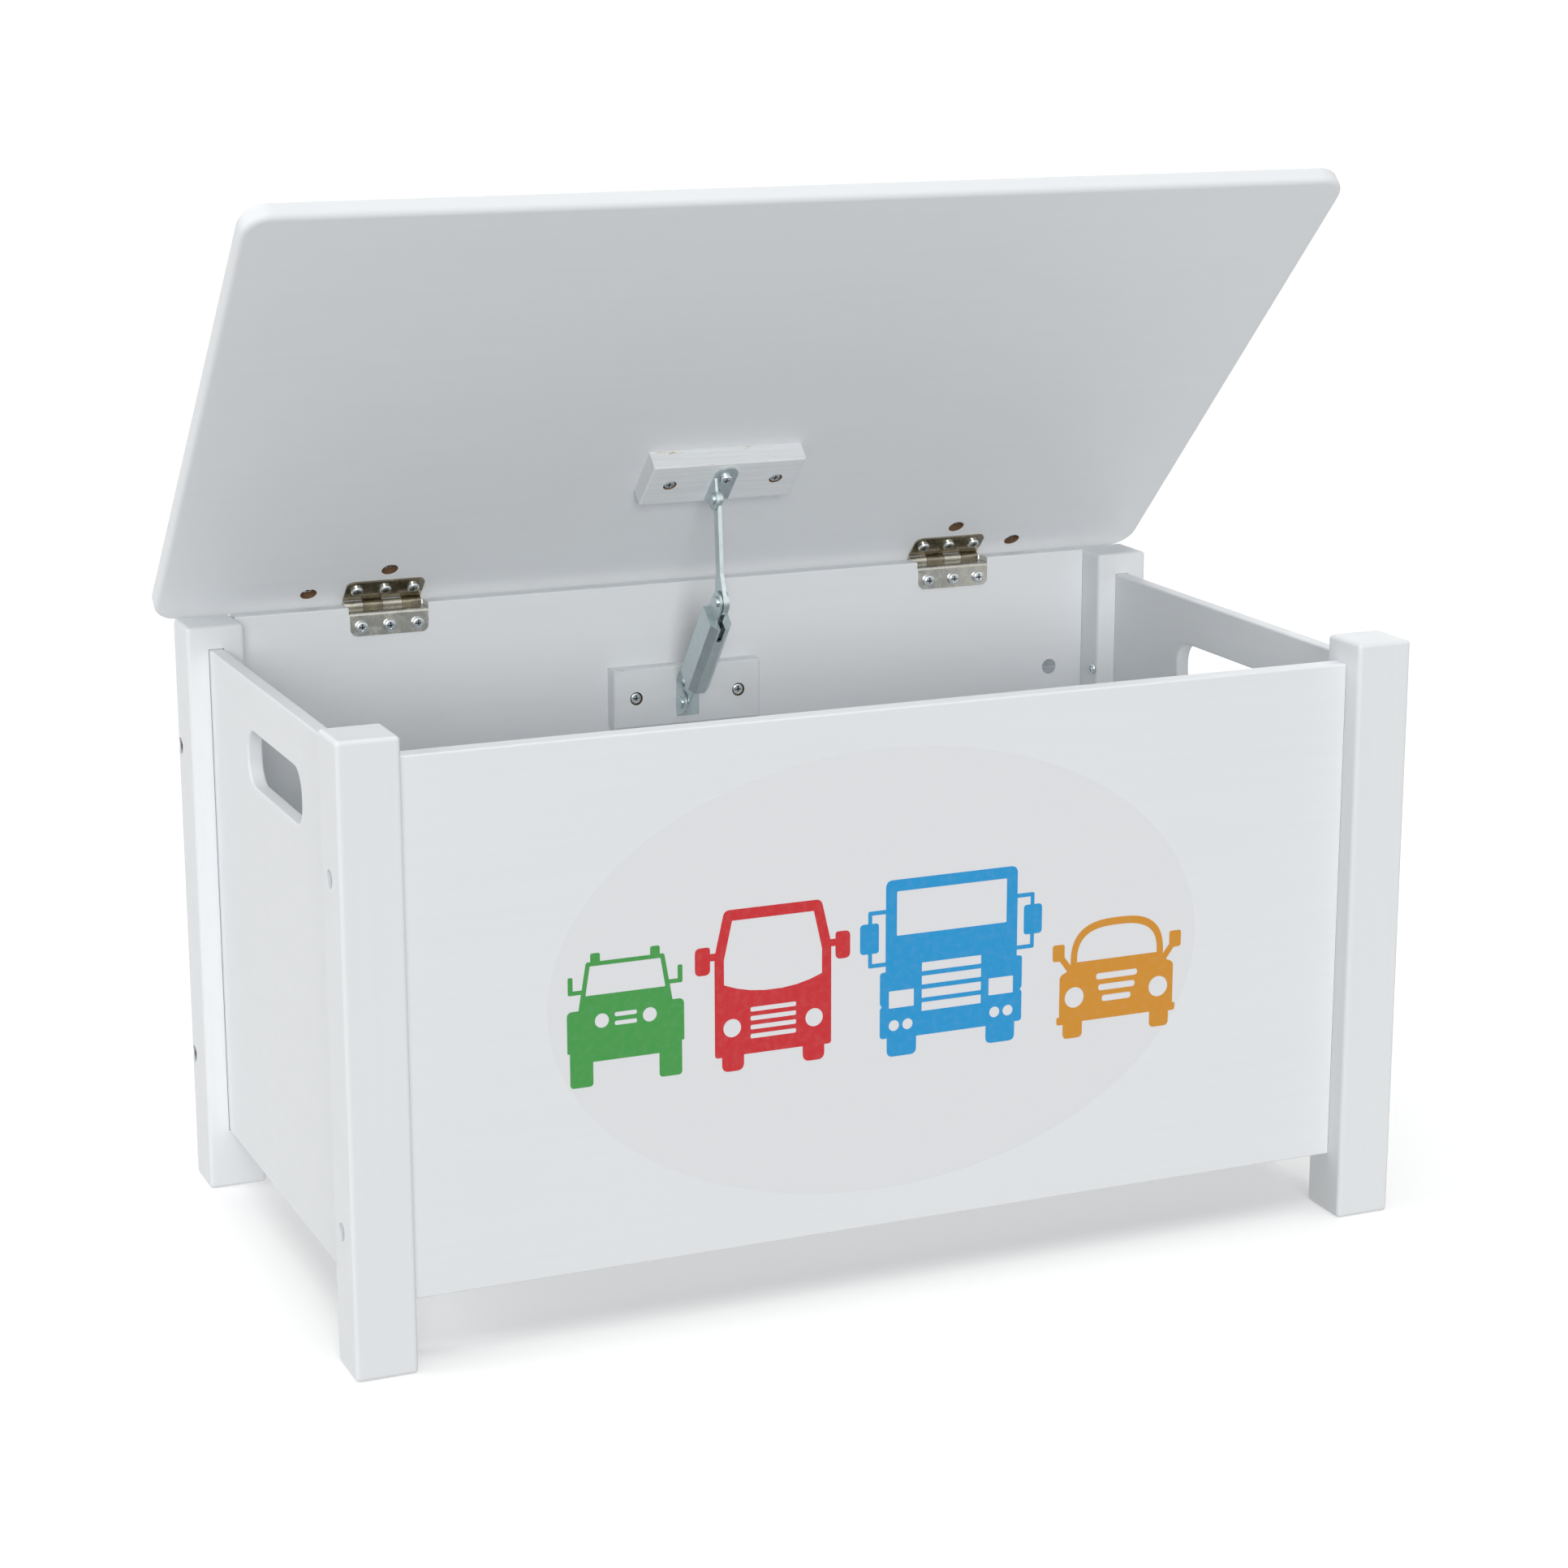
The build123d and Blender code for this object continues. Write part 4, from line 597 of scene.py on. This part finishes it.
# a minibus with a deep windscreen and square mirrors
minibus = mirrored([
    (29.2, 93.5, 4.2), (34.7, 69.6, 0), (37.8, 69.6, 0), (37.8, 73.6, 3.3), (46.8, 73.6, 3.3),
    (46.8, 57.6, 3.3), (37.8, 57.6, 3.3), (37.8, 65.4, 0), (35.2, 65.4, 0), (35.2, 8.6, 4.0),
    (31.0, 8.6, 0), (31.0, 0.0, 5.0), (17.8, 0.0, 5.0), (17.8, 9.0, 0.4),
])
minibus_glass = mirrored([
    (24.6, 87.2, 0.5), (29.6, 65.0, 2.0), (29.6, 50.6, 0.4), (22.0, 47.8, 0), (14.0, 45.9, 0),
    (5.0, 44.9, 0),
])
printed("printed_minibus", [
    rounded(minibus),
    rounded(minibus_glass),
    *[disc(side * 24.8, 25.2, 5.3) for side in BOTH],
    *[bar(0, z, 27.6, 2.7, 1.0) for z in (34.6, 29.4, 24.2, 19.0)],
], "red", 2, middle_x=-75.2, foot_z=142.5)

# a lorry with mirrors on brackets, a barred grille and two pairs of lamps
lorry = mirrored([
    (41.3, 104.0, 4.4), (41.3, 87.2, 0), (52.2, 87.2, 1.2), (52.2, 80.0, 0), (57.2, 80.0, 2.6),
    (57.2, 62.4, 2.6), (52.2, 62.4, 0), (52.2, 54.0, 1.2), (41.3, 54.0, 0), (41.3, 50.6, 0),
    (44.8, 50.2, 3.0), (44.8, 31.8, 1.6), (43.6, 30.2, 0.6), (44.8, 28.6, 1.6), (44.8, 11.2, 4.6),
    (40.4, 11.2, 0), (40.4, 0.0, 3.8), (22.0, 0.0, 3.8), (22.0, 10.6, 0.3),
])
mirror_gap = [
    (41.4, 84.8, 0), (49.8, 84.8, 0), (49.8, 80.0, 0), (45.6, 80.0, 2.4), (45.6, 62.4, 2.4),
    (49.8, 62.4, 0), (49.8, 56.4, 0), (41.4, 56.4, 0),
]
printed("printed_lorry", [
    rounded(lorry),
    rounded(mirror_gap),
    rounded([(-x, z, radius) for x, z, radius in mirror_gap]),
    bar(0, 84.2, 69.0, 26.0, 0.8),
    *[bar(side * 31.4, 33.8, 15.6, 10.2, 0.6) for side in BOTH],
    *[disc(side * x, 18.4, 3.2) for x in (27.5, 36.0) for side in BOTH],
    *[bar(0, z, 37.4, 5.2, 0.4) for z in (51.0, 43.1, 35.2, 27.4)],
], "blue", 2, middle_x=34.9, foot_z=138.0)

# a round-roofed small car with a barred grille
small_car = mirrored(arch(30.4, 44.0, 70.0) + [
    (31.0, 45.2, 0), (34.4, 49.6, 0), (34.4, 57.4, 1.6), (42.1, 57.4, 1.6), (42.1, 47.6, 1.8),
    (37.4, 47.4, 0.6), (32.4, 40.6, 0.6), (37.3, 38.6, 6.0), (37.3, 13.4, 0.4), (39.0, 13.4, 1.8),
    (39.0, 8.8, 1.8), (34.8, 8.8, 0), (34.8, 0.0, 3.2), (22.2, 0.0, 3.2), (22.2, 9.6, 0.3),
])[1:]
small_car_glass = mirrored(arch(26.2, 45.8, 65.6) + [(26.4, 45.6, 0)])[1:]
printed("printed_small_car", [
    rounded(small_car),
    rounded(small_car_glass),
    *[disc(side * 27.6, 24.6, 6.2) for side in BOTH],
    *[bar(0, z, width, 3.8, 1.9) for z, width in ((35.4, 27.0), (28.6, 24.0), (21.8, 19.0))],
], "orange", 2, middle_x=141.6, foot_z=134.0)


# ------------------------------------------------------------------ floor
FLOOR_RADIUS = 60.0      # metres: out past the horizon of a low camera
FLOOR_GLOW = 0.22        # the sweep is lit from beneath as well, as a light table is


def make_floor():
    """A wide pale studio floor. It gives the object no diffuse light: the paler lower
    half of the sky stands for it."""
    mesh = bpy.data.meshes.new("floor")
    shape = bmesh.new()
    bmesh.ops.create_circle(shape, cap_ends=True, segments=96, radius=FLOOR_RADIUS)
    shape.to_mesh(mesh)
    shape.free()
    floor = bpy.data.objects.new("floor", mesh)
    floor.location.z = cad_box[0].z
    bpy.context.scene.collection.objects.link(floor)
    g = Graph("studio_floor", (0.95, 0.95, 0.95), 0.8, specular=0.1)
    g.shader.inputs["Emission Color"].default_value = (1.0, 1.0, 1.0, 1.0)
    g.shader.inputs["Emission Strength"].default_value = FLOOR_GLOW
    mesh.materials.append(g.finish(g.ramp(g.noise(1.5), (0.3, 0.945), (0.7, 0.96))))
    floor.visible_diffuse = False


make_floor()


# ------------------------------------------------------------------ camera
# fitted to the posts' corners, with no shift: a long lens a little above the box's rim
FOCAL_PIXELS, IMAGE_PIXELS, SENSOR_MM = 4247.8, 1932, 36.0
AZIMUTH, PITCH, ROLL = math.radians(23.115), math.radians(14.046), math.radians(0.093)

camera_data = bpy.data.cameras.new("camera")
camera = bpy.data.objects.new("camera", camera_data)
bpy.context.scene.collection.objects.link(camera)
bpy.context.scene.camera = camera
camera_data.sensor_width = SENSOR_MM
camera_data.lens = FOCAL_PIXELS / IMAGE_PIXELS * SENSOR_MM
camera_data.clip_end = 150.0
look = Vector((math.sin(AZIMUTH) * math.cos(PITCH),
               math.cos(AZIMUTH) * math.cos(PITCH), -math.sin(PITCH)))
level = look.to_track_quat("-Z", "Y")
camera.rotation_mode = "QUATERNION"
camera.rotation_quaternion = level @ Matrix.Rotation(-ROLL, 4, "Z").to_quaternion()
camera.location = (-0.7892, -1.861, 0.7635)


# ------------------------------------------------------------------ light
scene = bpy.context.scene
scene.view_settings.view_transform = "Standard"
world = bpy.data.worlds.new("studio")
scene.world = world
world.use_nodes = True
sky = world.node_tree
background = sky.nodes["Background"]


def sky_node(kind, **values):
    node = sky.nodes.new(kind)
    for key, value in values.items():
        setattr(node, key, value)
    return node


# a dim dome over a paler lower half lights the paint; the dome itself looks white
SKY_ABOVE, SKY_BELOW, HORIZON_BLEND = 0.10, 0.52, 0.06
heights = sky_node("ShaderNodeSeparateXYZ")
sky.links.new(sky_node("ShaderNodeTexCoord").outputs["Generated"], heights.inputs[0])
shade = sky_node("ShaderNodeMapRange", interpolation_type="SMOOTHSTEP")
shade.inputs["From Min"].default_value = -HORIZON_BLEND
shade.inputs["From Max"].default_value = HORIZON_BLEND
shade.inputs["To Min"].default_value = SKY_BELOW
shade.inputs["To Max"].default_value = SKY_ABOVE
sky.links.new(heights.outputs["Z"], shade.inputs["Value"])
ray = sky_node("ShaderNodeLightPath")
direct = sky_node("ShaderNodeMath", operation="MAXIMUM")
sky.links.new(ray.outputs["Is Camera Ray"], direct.inputs[0])
sky.links.new(ray.outputs["Is Glossy Ray"], direct.inputs[1])
seen = sky_node("ShaderNodeMix", data_type="FLOAT")
sky.links.new(direct.outputs[0], seen.inputs[0])
sky.links.new(shade.outputs[0], seen.inputs[2])
seen.inputs[3].default_value = 1.0
sky.links.new(seen.outputs[0], background.inputs["Strength"])
background.inputs["Color"].default_value = (1.0, 1.0, 1.0, 1.0)


def soft_sun(name, azimuth, elevation, amount, spread):
    """A soft, even light from a direction: azimuth turns from the front to the left."""
    data = bpy.data.lights.new(name, "SUN")
    data.energy = amount * math.pi
    data.angle = math.radians(spread)
    lamp = bpy.data.objects.new(name, data)
    around, above = math.radians(azimuth), math.radians(elevation)
    towards = Vector((-math.sin(around) * math.cos(above),
                      -math.cos(around) * math.cos(above), math.sin(above)))
    lamp.rotation_euler = (-towards).to_track_quat("-Z", "Y").to_euler()
    bpy.context.scene.collection.objects.link(lamp)


soft_sun("front_light", azimuth=14.0, elevation=12.0, amount=0.50, spread=22.0)
soft_sun("left_light", azimuth=104.0, elevation=18.0, amount=0.38, spread=30.0)
soft_sun("top_light", azimuth=0.0, elevation=80.0, amount=0.50, spread=60.0)
soft_sun("back_light", azimuth=200.0, elevation=30.0, amount=0.22, spread=60.0)
